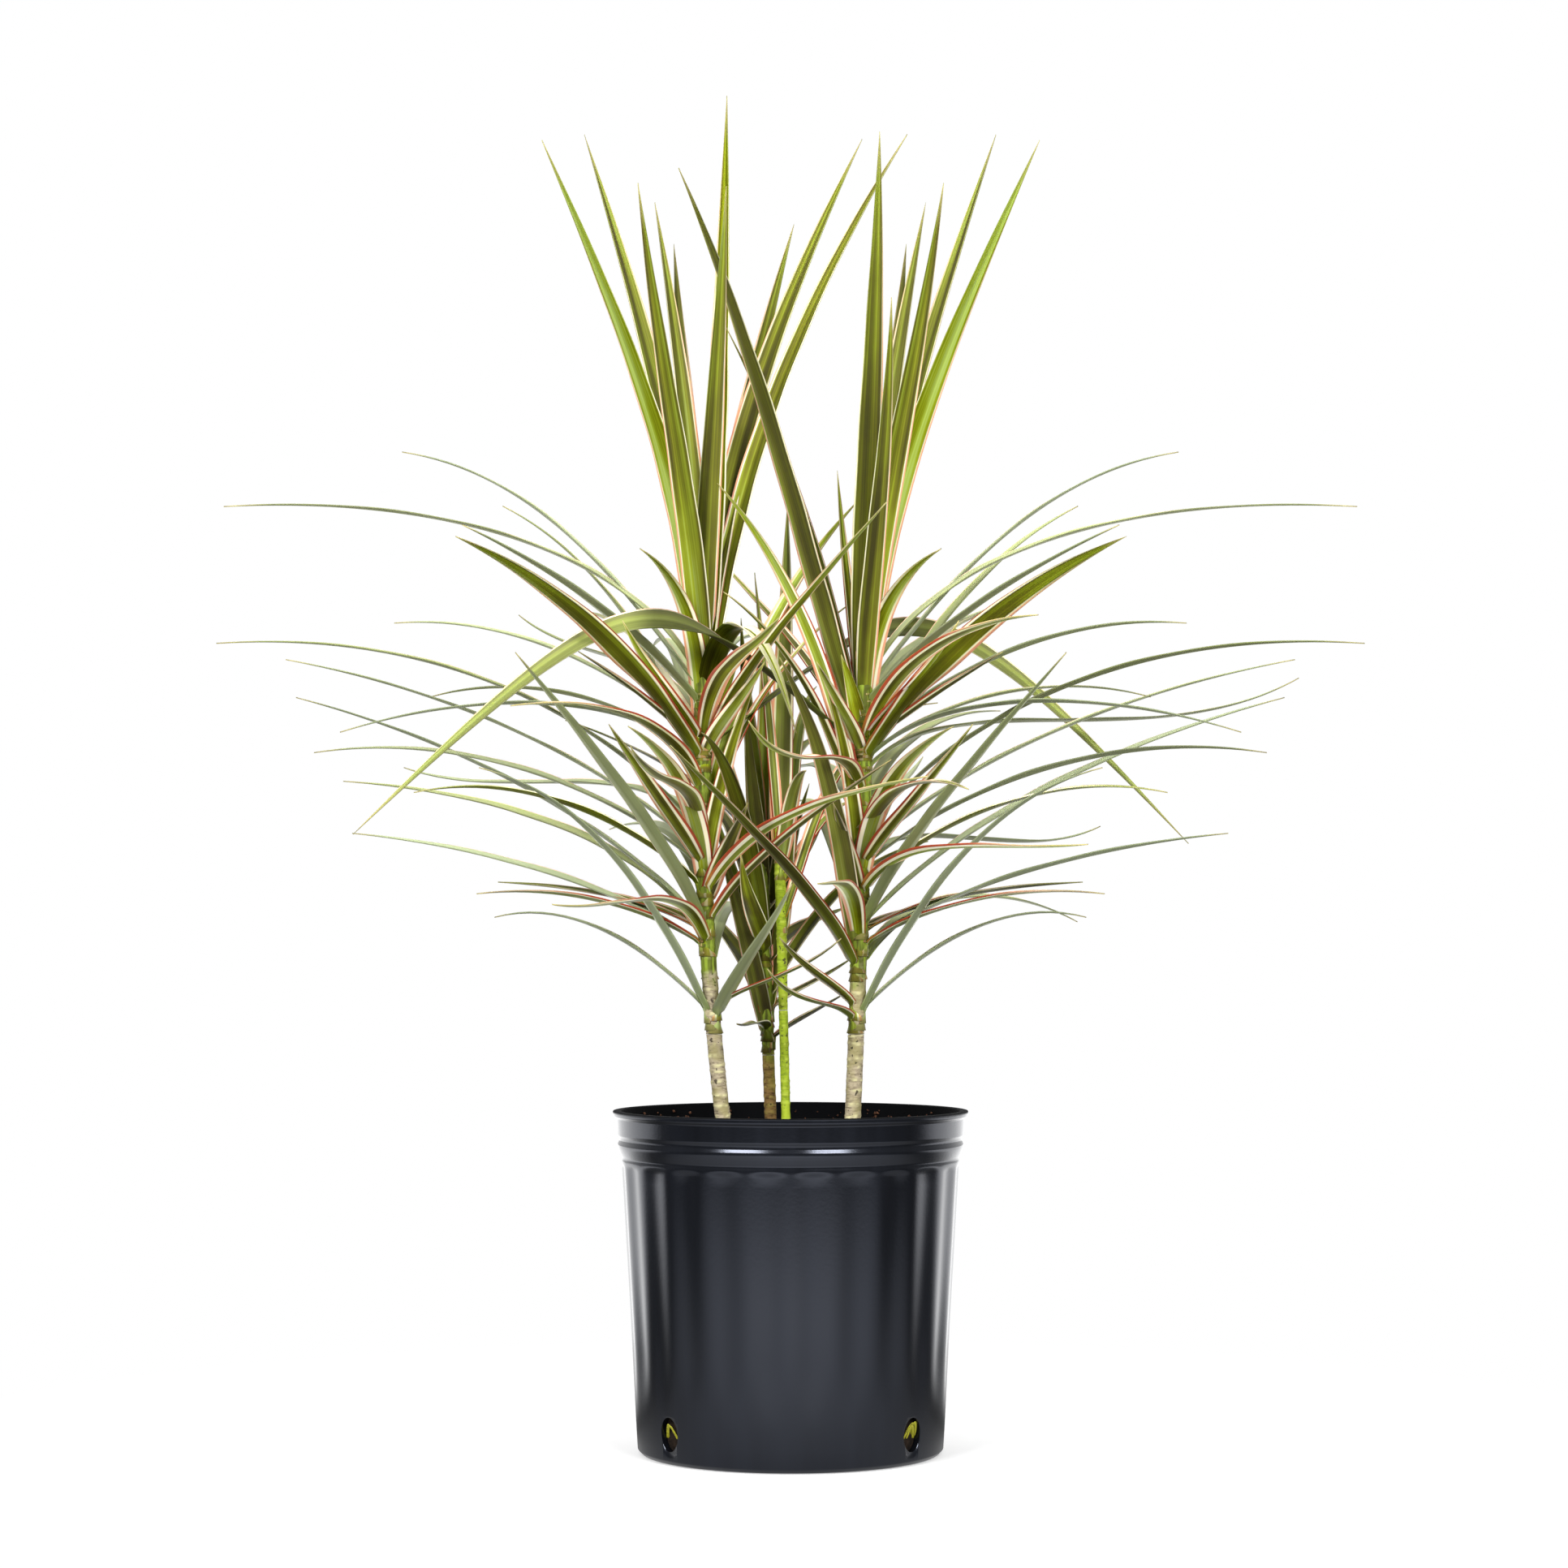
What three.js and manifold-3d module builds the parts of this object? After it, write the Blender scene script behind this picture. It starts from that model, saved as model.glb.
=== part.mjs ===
// Potted bicolor Madagascar dragon tree: a black nursery pot with four leafy stems.
// Millimetres, +Z up, the origin at the middle of the pot's base, the front towards -Y.
import * as THREE from 'three';
import { mergeVertices } from 'three/addons/utils/BufferGeometryUtils.js';
import Module from 'manifold-3d';

const wasm = await Module();
wasm.setup();

// Driving dimensions of the pot
const potHeight = 243;
const rimRadius = 127;
const rimHeight = 3.5;
const baseRadius = 109;
const baseBevel = 3;
const wallTop = 208;
const wallTopRadius = 121;
const wallThickness = 3;
const floorThickness = 3;
const panelCount = 24;
const panelTop = 206;
const panelFoot = 36;
const panelFade = { top: 4, foot: 30 };
const grooveDepth = 1.8;
const grooveShare = 0.3;
const potSides = panelCount * 3;
const drainHole = {
  width: 18, height: 24, depth: 24, sides: 16, centreZ: 21.5, fromFront: [-130, -50, 50, 130],
};

// The collar between the wall and the rim, as [radius, height] from the neck up: a rolled bead
// with a ledge on top, a narrow groove, and a plain band
const collarProfile = [
  [120.4, 210.4], [122.6, 214.5], [123.5, 219.6], [122.4, 222], [122.6, 224.4], [123.9, 226],
  [124.4, 237.8],
];
const innerTopRadius = 120.9;
const innerStep = { height: 205, radius: 116.9 };

// Driving dimensions of what stands in the pot
const gap = 0.3;
const soilTop = 217;
const soilCrown = 1;
const soilHeave = { height: 1.8, alongX: 17, alongY: 13, slanting: 9 };
const soilRings = [84, 52, 20, 0];
const soilSides = 24;
const stemFoot = 160;
const stemHole = { over: 20, step: 30 };

// Each stem: where its axis crosses the soil's level (x, y), how far it leans from there to
// leanTop, how much it bows, the radius of its bark, and the heights where its leaves start and
// end
const stems = {
  left: { x: -47, y: 0, leanX: -15, leanY: 0, bow: -26, radius: 5.8, leafFoot: 297, top: 572 },
  right: { x: 44, y: 0, leanX: 9, leanY: 0, bow: 6, radius: 6, leafFoot: 297, top: 572 },
  middle: { x: -14, y: 36, leanX: -12, leanY: 6, bow: 0, radius: 4.6, leafFoot: 281, top: 452 },
  shoot: { x: -3, y: 8, leanX: -8, leanY: 24, bow: 0, radius: 3.5, leafFoot: 314, top: 452 },
};
const stemLevel = 225;
const leanTop = 560;
const cane = { sides: 10, step: 13, scarDepth: 0.4 };
const core = { sides: 8, step: 40, swell: 1.4, tip: 2 };

// A blade: the depth of its fold and the width at its sheath, as shares of the width, the share
// of the length where it is widest, how late it narrows to its tip, how far the face of a steep
// blade turns to the front or the back and the slopes in degrees between which that sets in,
// the shares of the length between which a twist happens, its thickness along the middle and
// the share of that left at the tip, and the length and the least and greatest number of its
// straight stretches
const blade = {
  fold: 0.16, sheath: 0.55, widest: 0.3, taper: 2, turn: 1.6, steep: [58, 80],
  twisted: [0.22, 0.5], thickness: 1.4, tipShare: 0.55, stretch: 82, stretches: [4, 10],
};
const handle = { root: 0.26, tip: 0.4 };

// Leaves, one a row: height of the root on the stem, the tip's x, y and z, the slope in degrees
// at the root and at the tip, the width, and, where they aren't plain, the bow of a leaf that
// arches more and the twist in degrees of one whose face turns

// Outward leaves of the left head. The right head has them mirrored.
const outwardLeaves = [
  [520, -171, -120, 914, 87, 56, 18, 1.2],
  [525, -155, 110, 971, 86, 64, 17, 1.2],
  [530, -104, -140, 880, 86, 68, 18, 1.1],
  [535, -100, 60, 909, 88, 72, 17, 1.1],
  [540, -88, 130, 892, 87, 70, 17],
  [498, -105, -80, 637, 86, 14, 16, 1.3],
  [545, -408, 0, 676, 66, -3, 13, 1.1],
  [540, -284, 40, 721, 52, 10, 14],
  [530, -226, -110, 650, 46, 20, 14],
  [490, -224, -180, 634, 49, 14, 19, 1, 40],
  [500, -212, 60, 684, 60, 27, 13],
  [505, -286, 10, 593, 42, -4, 12],
  [440, -408, -30, 575, 50, -4, 13, 1.1],
  [425, -370, 50, 570, 44, 11, 13],
  [372, -368, 90, 545, 48, 15, 13],
  [490, -316, -60, 510, 50, -18, 13],
  [492, -262, 30, 541, 44, -14, 12],
  [415, -345, 20, 500, 42, -8, 13],
  [400, -262, -80, 467, 42, -12, 15],
  [360, -322, 60, 443, 32, 6, 13],
  [358, -220, -60, 397, 34, -6, 15],
  [368, -214, 50, 407, 34, 4, 14],
  [310, -214, 20, 381, 46, -14, 12],
  [370, -187, -140, 560, 57, 40, 14],
  [415, -125, -110, 513, 42, 39, 15],
  [305, -216, -90, 484, 59, 12, 13],
  [385, -110, -150, 509, 86, 10, 16, 1.3],
  [500, -149, -60, 567, 40, 28, 13],
  [372, -134, 60, 400, 22, 14, 14],
  [515, -164, 40, 604, 44, -4, 12],
  [505, -117, -80, 587, 46, 50, 12],
  [385, -30, -40, 462, 78, 55, 14],
  [400, -25, -35, 548, 84, 60, 13],
  [492, -36, -20, 568, 86, 62, 13],
  [490, -18, -60, 560, 70, 45, 13],
];

// Leaves of either head that cross the middle, as the left head has them. The right head has
// them mirrored from side to side and from front to back.
const inwardLeaves = [
  [450, 52, 40, 688, 76, 46, 13],
  [490, 66, -130, 664, 66, 38, 12],
  [450, 48, 30, 612, 66, 34, 14],
  [500, 300, 118, 436, 36, -44, 16, 2, 75],
];

// Leaves that only one head has
const leftLeaves = [
  [540, -46, 10, 976, 85, 89, 18],
  [535, -44, -130, 880, 95, 70, 17, 1.1],
  [530, 3, 120, 905, 84, 62, 17],
  [525, 54, 90, 963, 87, 60, 18, 1.2],
  [520, 86, 40, 955, 84, 58, 17, 1.1],
  [515, 4, -80, 508, 84, -68, 17, 3],
  [372, 70, -85, 490, 60, 30, 14],
  [303, 1, -70, 404, 62, 54, 13],
  [312, 36, -30, 366, 50, 44, 12],
];
const rightLeaves = [
  [503, -79, -60, 908, 68, 64, 18, 0.9],
  [500, -46, -20, 802, 78, 62, 9],
  [525, 62, -80, 929, 96, 86, 20],
  [520, 68, -150, 800, 86, 84, 15],
  [505, 34, 20, 705, 86, 84, 9],
  [346, -8, -100, 560, 74, 40, 16],
  [340, -82, -140, 497, 57, 36, 16],
  [312, -8, -60, 367, 54, 46, 12],
  [303, -16, -90, 345, 50, 46, 12],
];
const middleLeaves = [
  [290, 40, 44, 326, 42, 34, 15],
  [310, 46, 70, 352, 48, 36, 13],
  [296, -38, -50, 306, 44, 10, 12],
  [380, 24, 74, 452, 62, 60, 12],
  [350, -35, -60, 425, 66, 60, 14],
  [288, -52, 12, 440, 80, 72, 14],
  [300, -60, 60, 470, 82, 70, 14],
  [306, 14, 66, 480, 80, 66, 14],
  [320, -34, 84, 520, 84, 76, 14],
  [335, -46, 18, 500, 84, 80, 13],
  [350, -2, 84, 560, 84, 78, 13],
  [365, -58, 56, 540, 84, 74, 13],
  [385, -32, 16, 532, 88, 84, 12],
  [410, -20, 70, 590, 86, 84, 12],
  [430, -36, 44, 600, 88, 88, 12],
];
const shootLeaves = [
  [420, -2, 112, 694, 84, 82, 17],
  [425, -26, 30, 632, 86, 84, 9],
];

// Where the rest of the leaves grow, one rule a row: on which stem, how many, the range of
// heights, the range of headings in degrees (0 to the right, 90 to the back), and a leaf's
// reach, lift, slope at the root and width
const fillLeaves = [
  ['left', 9, 330, 540, 50, 160, 300, 90, 50, 14],
  ['left', 5, 340, 520, -130, -62, 250, 60, 50, 15],
  ['right', 9, 330, 540, 20, 130, 300, 90, 50, 14],
  ['right', 5, 340, 520, -118, -50, 250, 60, 50, 15],
  ['middle', 12, 300, 445, 0, 360, 120, 110, 50, 14],
  ['shoot', 9, 330, 445, -60, 200, 100, 150, 50, 13],
];

// How a rule's leaves spread: the turn from one to the next and the first one's, as shares of the
// range of headings, the ranges of the factors on reach and lift, the range added to the slope at
// the root, and the range of the slope at the tip
const spread = {
  turn: 0.618, firstTurn: 0.3, reach: [0.75, 1.25], lift: [0.4, 1.4], rise: [0, 22],
  droop: [-16, 30],
};

// How far apart the middle lines of two leaves stay, on different stems and on one stem past
// the share of their length where they part, and how a leaf that comes closer is swung aside
const clearance = { others: 14, own: 9, partShare: 0.4, samples: 24, attempts: 24, swing: 5 };

const materials = {
  pot: new THREE.MeshStandardMaterial({ color: 0x26272b, roughness: 0.38, metalness: 0 }),
  soil: new THREE.MeshStandardMaterial({ color: 0x2a211b, roughness: 0.95, metalness: 0 }),
  bark: new THREE.MeshStandardMaterial({ color: 0xa69a7c, roughness: 0.85, metalness: 0 }),
  brownBark: new THREE.MeshStandardMaterial({ color: 0x5d4a35, roughness: 0.85, metalness: 0 }),
  greenStem: new THREE.MeshStandardMaterial({ color: 0x8aa336, roughness: 0.6, metalness: 0 }),
  leaf: new THREE.MeshStandardMaterial({ color: 0x6f8a35, roughness: 0.5, metalness: 0 }),
};

const radians = THREE.MathUtils.degToRad;
const { clamp, lerp, mapLinear, smoothstep } = THREE.MathUtils;
const group = new THREE.Group();

function addPiece(name, geometry, material) {
  const mesh = new THREE.Mesh(geometry, material);
  mesh.name = name;
  group.add(mesh);
}

function toSolid(geometry) {
  const bare = geometry.clone();
  bare.deleteAttribute('normal');
  bare.deleteAttribute('uv');
  const merged = mergeVertices(bare, 1e-4);
  return new wasm.Manifold(new wasm.Mesh({
    numProp: 3,
    vertProperties: new Float32Array(merged.attributes.position.array),
    triVerts: new Uint32Array(merged.index.array),
  }));
}

function toGeometry(solid) {
  const mesh = solid.getMesh();
  const geometry = new THREE.BufferGeometry();
  geometry.setAttribute('position', new THREE.BufferAttribute(mesh.vertProperties, 3));
  geometry.setIndex(new THREE.BufferAttribute(mesh.triVerts, 1));
  geometry.computeVertexNormals();
  return geometry;
}

// A skin over rings of points with equal counts, closed at both ends by a point. The second half
// of the sides is split the other way, so that a thin twisted blade has parallel faces.
function skin(rings, firstPoint, lastPoint) {
  const count = rings[0].length;
  const points = [firstPoint, ...rings.flat(), lastPoint];
  const last = points.length - 1;
  const faces = [];
  for (let side = 0; side < count; side++) {
    const next = (side + 1) % count;
    faces.push(0, 1 + next, 1 + side);
    for (let ring = 0; ring < rings.length - 1; ring++) {
      const low = 1 + ring * count;
      const high = low + count;
      if (side < count / 2) {
        faces.push(low + side, low + next, high + next, low + side, high + next, high + side);
      } else {
        faces.push(low + side, low + next, high + side, low + next, high + next, high + side);
      }
    }
    faces.push(last - count + side, last - count + next, last);
  }
  const geometry = new THREE.BufferGeometry();
  const position = points.flatMap((point) => point.toArray());
  geometry.setAttribute('position', new THREE.Float32BufferAttribute(position, 3));
  geometry.setIndex(faces);
  return geometry;
}

// A turned shape about the Z axis from a profile of [radius, height]
function turned(profile, sides, start = 0) {
  const points = profile.map(([radius, height]) => new THREE.Vector2(radius, height));
  const geometry = new THREE.LatheGeometry(points, sides, start);
  geometry.rotateX(Math.PI / 2);
  return geometry;
}

// Pot

function bodyRadius(z) {
  return mapLinear(z, baseBevel, wallTop, baseRadius, wallTopRadius);
}

function innerRadius(z) {
  const { height, radius } = innerStep;
  const foot = baseRadius - wallThickness - grooveDepth;
  return z < height
    ? mapLinear(z, floorThickness, height, foot, radius)
    : mapLinear(z, height, potHeight, radius, innerTopRadius);
}

function makePot() {
  const wallHeights = [
    panelFoot, panelFoot + panelFade.foot, panelTop - panelFade.top, panelTop, wallTop,
  ];
  const profile = [
    [0, 0], [baseRadius - baseBevel, 0], [baseRadius, baseBevel],
    ...wallHeights.map((z) => [bodyRadius(z), z]),
    ...collarProfile,
    [rimRadius, potHeight - rimHeight], [rimRadius, potHeight],
    ...[potHeight, innerStep.height, floorThickness].map((z) => [innerRadius(z), z]),
    [0, floorThickness],
  ];
  const geometry = turned(profile, potSides, Math.PI / panelCount);
  const position = geometry.attributes.position;
  const point = new THREE.Vector3();
  for (let index = 0; index < position.count; index++) {
    point.fromBufferAttribute(position, index);
    const radius = Math.hypot(point.x, point.y);
    const onPanels = point.z > panelFoot + 1 && point.z < panelTop - 1;
    if (onPanels && radius > bodyRadius(point.z) - 1) {
      const fluted = panelPoint(Math.atan2(point.y, point.x), radius);
      position.setXY(index, fluted.x, fluted.y);
    }
  }
  let solid = toSolid(geometry);
  for (const angle of drainHole.fromFront) {
    solid = solid.subtract(toSolid(makeDrainHole(angle)));
  }
  return toGeometry(solid);
}

// A point of the fluted wall: its lines are the middle and the two edges of a wide groove,
// with a flat panel from each groove to the next and one panel at the front
function panelPoint(angle, radius) {
  const pitch = 2 * Math.PI / panelCount;
  const fromFront = angle + Math.PI / 2;
  const groove = Math.floor(fromFront / pitch) + 0.5;
  const across = fromFront / pitch - groove;
  const inGroove = Math.abs(across) < 0.01;
  const turn = (groove + (inGroove ? 0 : Math.sign(across) * grooveShare)) * pitch - Math.PI / 2;
  const reach = inGroove ? radius - grooveDepth : radius;
  return { x: reach * Math.cos(turn), y: reach * Math.sin(turn) };
}

function makeDrainHole(angle) {
  const geometry = new THREE.CylinderGeometry(1, 1, drainHole.depth, drainHole.sides);
  geometry.scale(drainHole.width / 2, 1, drainHole.height / 2);
  geometry.translate(0, -baseRadius, 0);
  geometry.rotateZ(radians(angle));
  geometry.translate(0, 0, drainHole.centreZ);
  return geometry;
}

// Stems

function stemPoint(stem, z) {
  const share = (z - stemLevel) / (leanTop - stemLevel);
  return new THREE.Vector3(
    stem.x + stem.leanX * share + stem.bow * share * (1 - share),
    stem.y + stem.leanY * share,
    z,
  );
}

function ringAt(centre, radius, sides) {
  const ring = [];
  for (let side = 0; side < sides; side++) {
    const angle = 2 * Math.PI * side / sides;
    const offset = new THREE.Vector3(Math.cos(angle), Math.sin(angle), 0);
    ring.push(centre.clone().addScaledVector(offset, radius));
  }
  return ring;
}

function makeStem(stem, from, to, radiusAt, sides, step) {
  const rings = [];
  const count = Math.max(2, Math.round((to - from) / step));
  for (let ring = 0; ring <= count; ring++) {
    const z = lerp(from, to, ring / count);
    rings.push(ringAt(stemPoint(stem, z), radiusAt(ring, ring / count), sides));
  }
  return skin(rings, stemPoint(stem, from), stemPoint(stem, to));
}

// Bare bark from the foot in the soil up to the first leaf, with a scar ring at every other step
function makeCane(stem) {
  const scar = (ring) => stem.radius - (ring % 2 ? cane.scarDepth : 0);
  return makeStem(stem, stemFoot, stem.leafFoot, scar, cane.sides, cane.step);
}

function makeSoil() {
  const wallHeights = [floorThickness + gap, innerStep.height, soilTop];
  const profile = [
    [0, floorThickness + gap],
    ...wallHeights.map((z) => [innerRadius(z) - gap, z]),
    ...soilRings.map((radius) => [radius, soilTop + soilCrown]),
  ];
  const geometry = turned(profile, soilSides);
  const position = geometry.attributes.position;
  for (let index = 0; index < position.count; index++) {
    if (position.getZ(index) > soilTop + soilCrown / 2) {
      const x = position.getX(index);
      const y = position.getY(index);
      const { height, alongX, alongY, slanting } = soilHeave;
      const heave = Math.sin(x / alongX + 1) * Math.cos(y / alongY)
        + Math.sin((x + y) / slanting) / 2;
      position.setZ(index, soilTop + soilCrown + height * heave);
    }
  }
  let solid = toSolid(geometry);
  for (const stem of Object.values(stems)) {
    const hole = () => stem.radius + gap;
    const top = soilTop + stemHole.over;
    const cutter = makeStem(stem, stemFoot - gap, top, hole, cane.sides, stemHole.step);
    solid = solid.subtract(toSolid(cutter));
  }
  return toGeometry(solid);
}

// Leaves

// The blade's middle line: a cubic curve from the stem's axis to the tip
function leafLine(stem, [root, x, y, z, rise, droop, , bow = 1]) {
  const start = stemPoint(stem, root);
  const tip = new THREE.Vector3(x, y, z);
  const heading = Math.atan2(y - start.y, x - start.x);
  const chord = start.distanceTo(tip);
  const along = (slope) => new THREE.Vector3(
    Math.cos(heading) * Math.cos(slope),
    Math.sin(heading) * Math.cos(slope),
    Math.sin(slope),
  );
  const rootReach = handle.root * chord * bow;
  const tipReach = handle.tip * chord * bow;
  const rootHandle = start.clone().addScaledVector(along(radians(rise)), rootReach);
  const tipHandle = tip.clone().addScaledVector(along(radians(droop)), -tipReach);
  const curve = new THREE.CubicBezierCurve3(start, rootHandle, tipHandle, tip);
  return { curve, heading };
}

// Share of the full width at a share of the length: a broad base, then a long fine tip
function widthShare(share) {
  if (share < blade.widest) {
    return lerp(blade.sheath, 1, Math.sin(share / blade.widest * Math.PI / 2));
  }
  return 1 - mapLinear(share, blade.widest, 1, 0, 1) ** blade.taper;
}

function makeLeaf(stem, leaf) {
  const { curve, heading } = leafLine(stem, leaf);
  const [, , , , rise, , width, , twist = 0] = leaf;
  const level = new THREE.Vector3(-Math.sin(heading), Math.cos(heading), 0);
  level.x += Math.sign(level.x) * blade.turn * smoothstep(rise, ...blade.steep);
  const segments = clamp(Math.round(curve.getLength() / blade.stretch), ...blade.stretches);
  const rings = [];
  for (let step = 0; step < segments; step++) {
    const share = step / segments;
    const centre = curve.getPoint(share);
    const tangent = curve.getTangent(share);
    const across = level.clone().addScaledVector(tangent, -level.dot(tangent)).normalize();
    across.applyAxisAngle(tangent, radians(twist) * smoothstep(share, ...blade.twisted));
    const up = tangent.clone().cross(across);
    const half = width / 2 * widthShare(share);
    const fold = half * 2 * blade.fold;
    const thickness = blade.thickness * lerp(1, blade.tipShare, share);
    rings.push([
      centre.clone().addScaledVector(across, half).addScaledVector(up, fold),
      centre.clone().addScaledVector(up, thickness / 2),
      centre.clone().addScaledVector(across, -half).addScaledVector(up, fold),
      centre.clone().addScaledVector(up, -thickness / 2),
    ]);
  }
  return skin(rings, curve.getPoint(0), curve.getPoint(1));
}

// A slim core of leaf sheaths, pointed at the top, that the leaves grow out of
function makeCore(stem) {
  const sheath = (ring, share) => share < 1 ? stem.radius + core.swell * share : core.tip;
  return makeStem(stem, stem.leafFoot + gap, stem.top, sheath, core.sides, core.step);
}

function makeFoliage(stem, leaves) {
  let solid = toSolid(makeCore(stem));
  for (const leaf of leaves) {
    solid = solid.add(toSolid(makeLeaf(stem, leaf)));
  }
  const bodies = solid.decompose().sort((one, other) => other.volume() - one.volume());
  return toGeometry(bodies[0]);
}

// Where the leaves stand, so that a new one keeps clear of them
const standing = [];
const { samples } = clearance;

function remember(stem, leaf) {
  standing.push({ stem, line: leafLine(stem, leaf).curve.getPoints(samples) });
}

function isClear(stem, leaf) {
  const line = leafLine(stem, leaf).curve.getPoints(samples);
  for (const other of standing) {
    const own = other.stem === stem;
    const first = own ? Math.round(samples * clearance.partShare) : 1;
    const least = own ? clearance.own : clearance.others;
    for (let here = first; here <= samples; here++) {
      for (let there = first; there <= samples; there++) {
        if (line[here].distanceTo(other.line[there]) < least) {
          return false;
        }
      }
    }
  }
  return true;
}

// A repeatable draw between 0 and 1
let seed = 20177;
function draw() {
  seed = (seed * 16807) % 2147483647;
  return seed / 2147483647;
}

// A leaf of the rule, swung aside in small steps until it keeps clear of the others
function growLeaf(stem, [, count, low, high, from, to, farthest, highest, steep, width], index) {
  const root = lerp(low, high, (index + 0.5) / count);
  const heading = lerp(from, to, (index * spread.turn + spread.firstTurn) % 1);
  const reach = farthest * lerp(...spread.reach, draw());
  const lift = highest * lerp(...spread.lift, draw());
  const rise = steep + lerp(...spread.rise, draw());
  const droop = lerp(...spread.droop, draw());
  const start = stemPoint(stem, root);
  for (let attempt = 0; attempt < clearance.attempts; attempt++) {
    const swing = Math.ceil(attempt / 2) * (attempt % 2 ? clearance.swing : -clearance.swing);
    const angle = radians(heading + swing);
    const x = start.x + reach * Math.cos(angle);
    const y = start.y + reach * Math.sin(angle);
    const leaf = [root, x, y, root + lift, rise, droop, width];
    if (isClear(stem, leaf)) {
      return leaf;
    }
  }
  return null;
}

function mirrored([root, x, y, z, rise, droop, width, bow = 1, twist = 0], depth) {
  return [root, -x, y * depth, z, rise, droop, width, bow, -twist];
}

const leaves = {
  left: [...outwardLeaves, ...inwardLeaves, ...leftLeaves],
  right: [
    ...outwardLeaves.map((leaf) => mirrored(leaf, 1)),
    ...inwardLeaves.map((leaf) => mirrored(leaf, -1)),
    ...rightLeaves,
  ],
  middle: [...middleLeaves],
  shoot: [...shootLeaves],
};
for (const stem of Object.values(stems)) {
  const low = stemPoint(stem, stemLevel);
  const high = stemPoint(stem, stem.top);
  const axis = new THREE.LineCurve3(low, high);
  standing.push({ stem, line: axis.getPoints(samples) });
}
for (const [name, list] of Object.entries(leaves)) {
  list.forEach((leaf) => remember(stems[name], leaf));
}
for (const rule of fillLeaves) {
  const [on, count] = rule;
  for (let index = 0; index < count; index++) {
    const leaf = growLeaf(stems[on], rule, index);
    if (leaf) {
      leaves[on].push(leaf);
      remember(stems[on], leaf);
    }
  }
}

addPiece('pot', makePot(), materials.pot);
addPiece('soil', makeSoil(), materials.soil);
addPiece('cane_left', makeCane(stems.left), materials.bark);
addPiece('cane_right', makeCane(stems.right), materials.bark);
addPiece('cane_middle', makeCane(stems.middle), materials.brownBark);
addPiece('shoot_green', makeCane(stems.shoot), materials.greenStem);
for (const [name, stem] of Object.entries(stems)) {
  addPiece(`foliage_${name}`, makeFoliage(stem, leaves[name]), materials.leaf);
}

export default group;
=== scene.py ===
# Potted bicolor Madagascar dragon tree: its leaves, canes, soil and pot in full detail,
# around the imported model. Sizes are in millimetres, and mm turns them to metres.
import math
import bmesh
import bpy
import numpy as np
from mathutils import Matrix, Vector, noise


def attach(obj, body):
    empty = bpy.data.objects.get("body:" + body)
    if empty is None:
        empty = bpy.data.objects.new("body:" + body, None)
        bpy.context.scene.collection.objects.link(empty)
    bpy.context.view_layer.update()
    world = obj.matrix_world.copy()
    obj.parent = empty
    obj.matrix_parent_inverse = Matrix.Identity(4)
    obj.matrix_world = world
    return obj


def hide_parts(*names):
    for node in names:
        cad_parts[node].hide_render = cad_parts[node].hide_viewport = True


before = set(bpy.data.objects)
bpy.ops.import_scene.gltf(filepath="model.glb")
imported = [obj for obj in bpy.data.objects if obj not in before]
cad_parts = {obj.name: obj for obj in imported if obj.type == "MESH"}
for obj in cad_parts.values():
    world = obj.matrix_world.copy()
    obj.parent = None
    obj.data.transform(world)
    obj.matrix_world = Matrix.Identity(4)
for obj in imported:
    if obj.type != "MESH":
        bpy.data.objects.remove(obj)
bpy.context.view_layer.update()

mm = 0.001


# Helpers

def smoothStep(low, high, value):
    share = min(1.0, max(0.0, (value - low) / (high - low)))
    return share * share * (3 - 2 * share)


def mix(a, b, share):
    return a + (b - a) * share


def hexColor(code):
    channels = [int(code[i:i + 2], 16) / 255 for i in (0, 2, 4)]
    linear = [c / 12.92 if c <= 0.04045 else ((c + 0.055) / 1.055) ** 2.4 for c in channels]
    return (*linear, 1.0)


class Draws:
    # A stream of numbers that is the same each run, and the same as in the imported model
    def __init__(self, seed):
        self.state = seed

    def between(self, low=0.0, high=1.0):
        self.state = (self.state * 16807) % 2147483647
        return mix(low, high, self.state / 2147483647)


def addNode(tree, kind, inputs=(), stops=(), **settings):
    # The inputs are a list of the first ones, or a dictionary by name or number. Each is a
    # constant, a socket, or a node that gives its first output. A Mix of colours has its share
    # at 0 and the colours at 6 and 7. MapRange takes a value, from low, high, to low, high.
    # The stops of a ramp are its places and hex colours
    node = tree.nodes.new("ShaderNode" + kind)
    for name, value in settings.items():
        setattr(node, name, value)
    for _ in stops[2:]:
        node.color_ramp.elements.new(0.5)
    for number, (place, code) in enumerate(stops):
        node.color_ramp.elements[number].position = place
        node.color_ramp.elements[number].color = hexColor(code)
    for name, value in inputs.items() if isinstance(inputs, dict) else enumerate(inputs):
        if isinstance(value, bpy.types.Node):
            value = next(output for output in value.outputs if output.enabled)
        if isinstance(value, bpy.types.NodeSocket):
            tree.links.new(value, node.inputs[name])
        else:
            node.inputs[name].default_value = value
    return node


def newMaterial(name):
    material = bpy.data.materials.new(name)
    material.use_nodes = True
    material.node_tree.nodes.clear()
    return material, material.node_tree


def addObject(name, data):
    added = bpy.data.objects.new(name, data)
    bpy.context.scene.collection.objects.link(added)
    return added


def addMesh(name, bm):
    mesh = bpy.data.meshes.new(name)
    bm.to_mesh(mesh)
    bm.free()
    return addObject(name, mesh)


def finishPiece(name, bm, material, replaced=()):
    piece = addMesh(name, bm)
    piece.data.shade_smooth()
    piece.data.materials.append(material)
    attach(piece, "root")
    if replaced:
        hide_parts(*replaced)
    return piece


# Camera, floor and light

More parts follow.
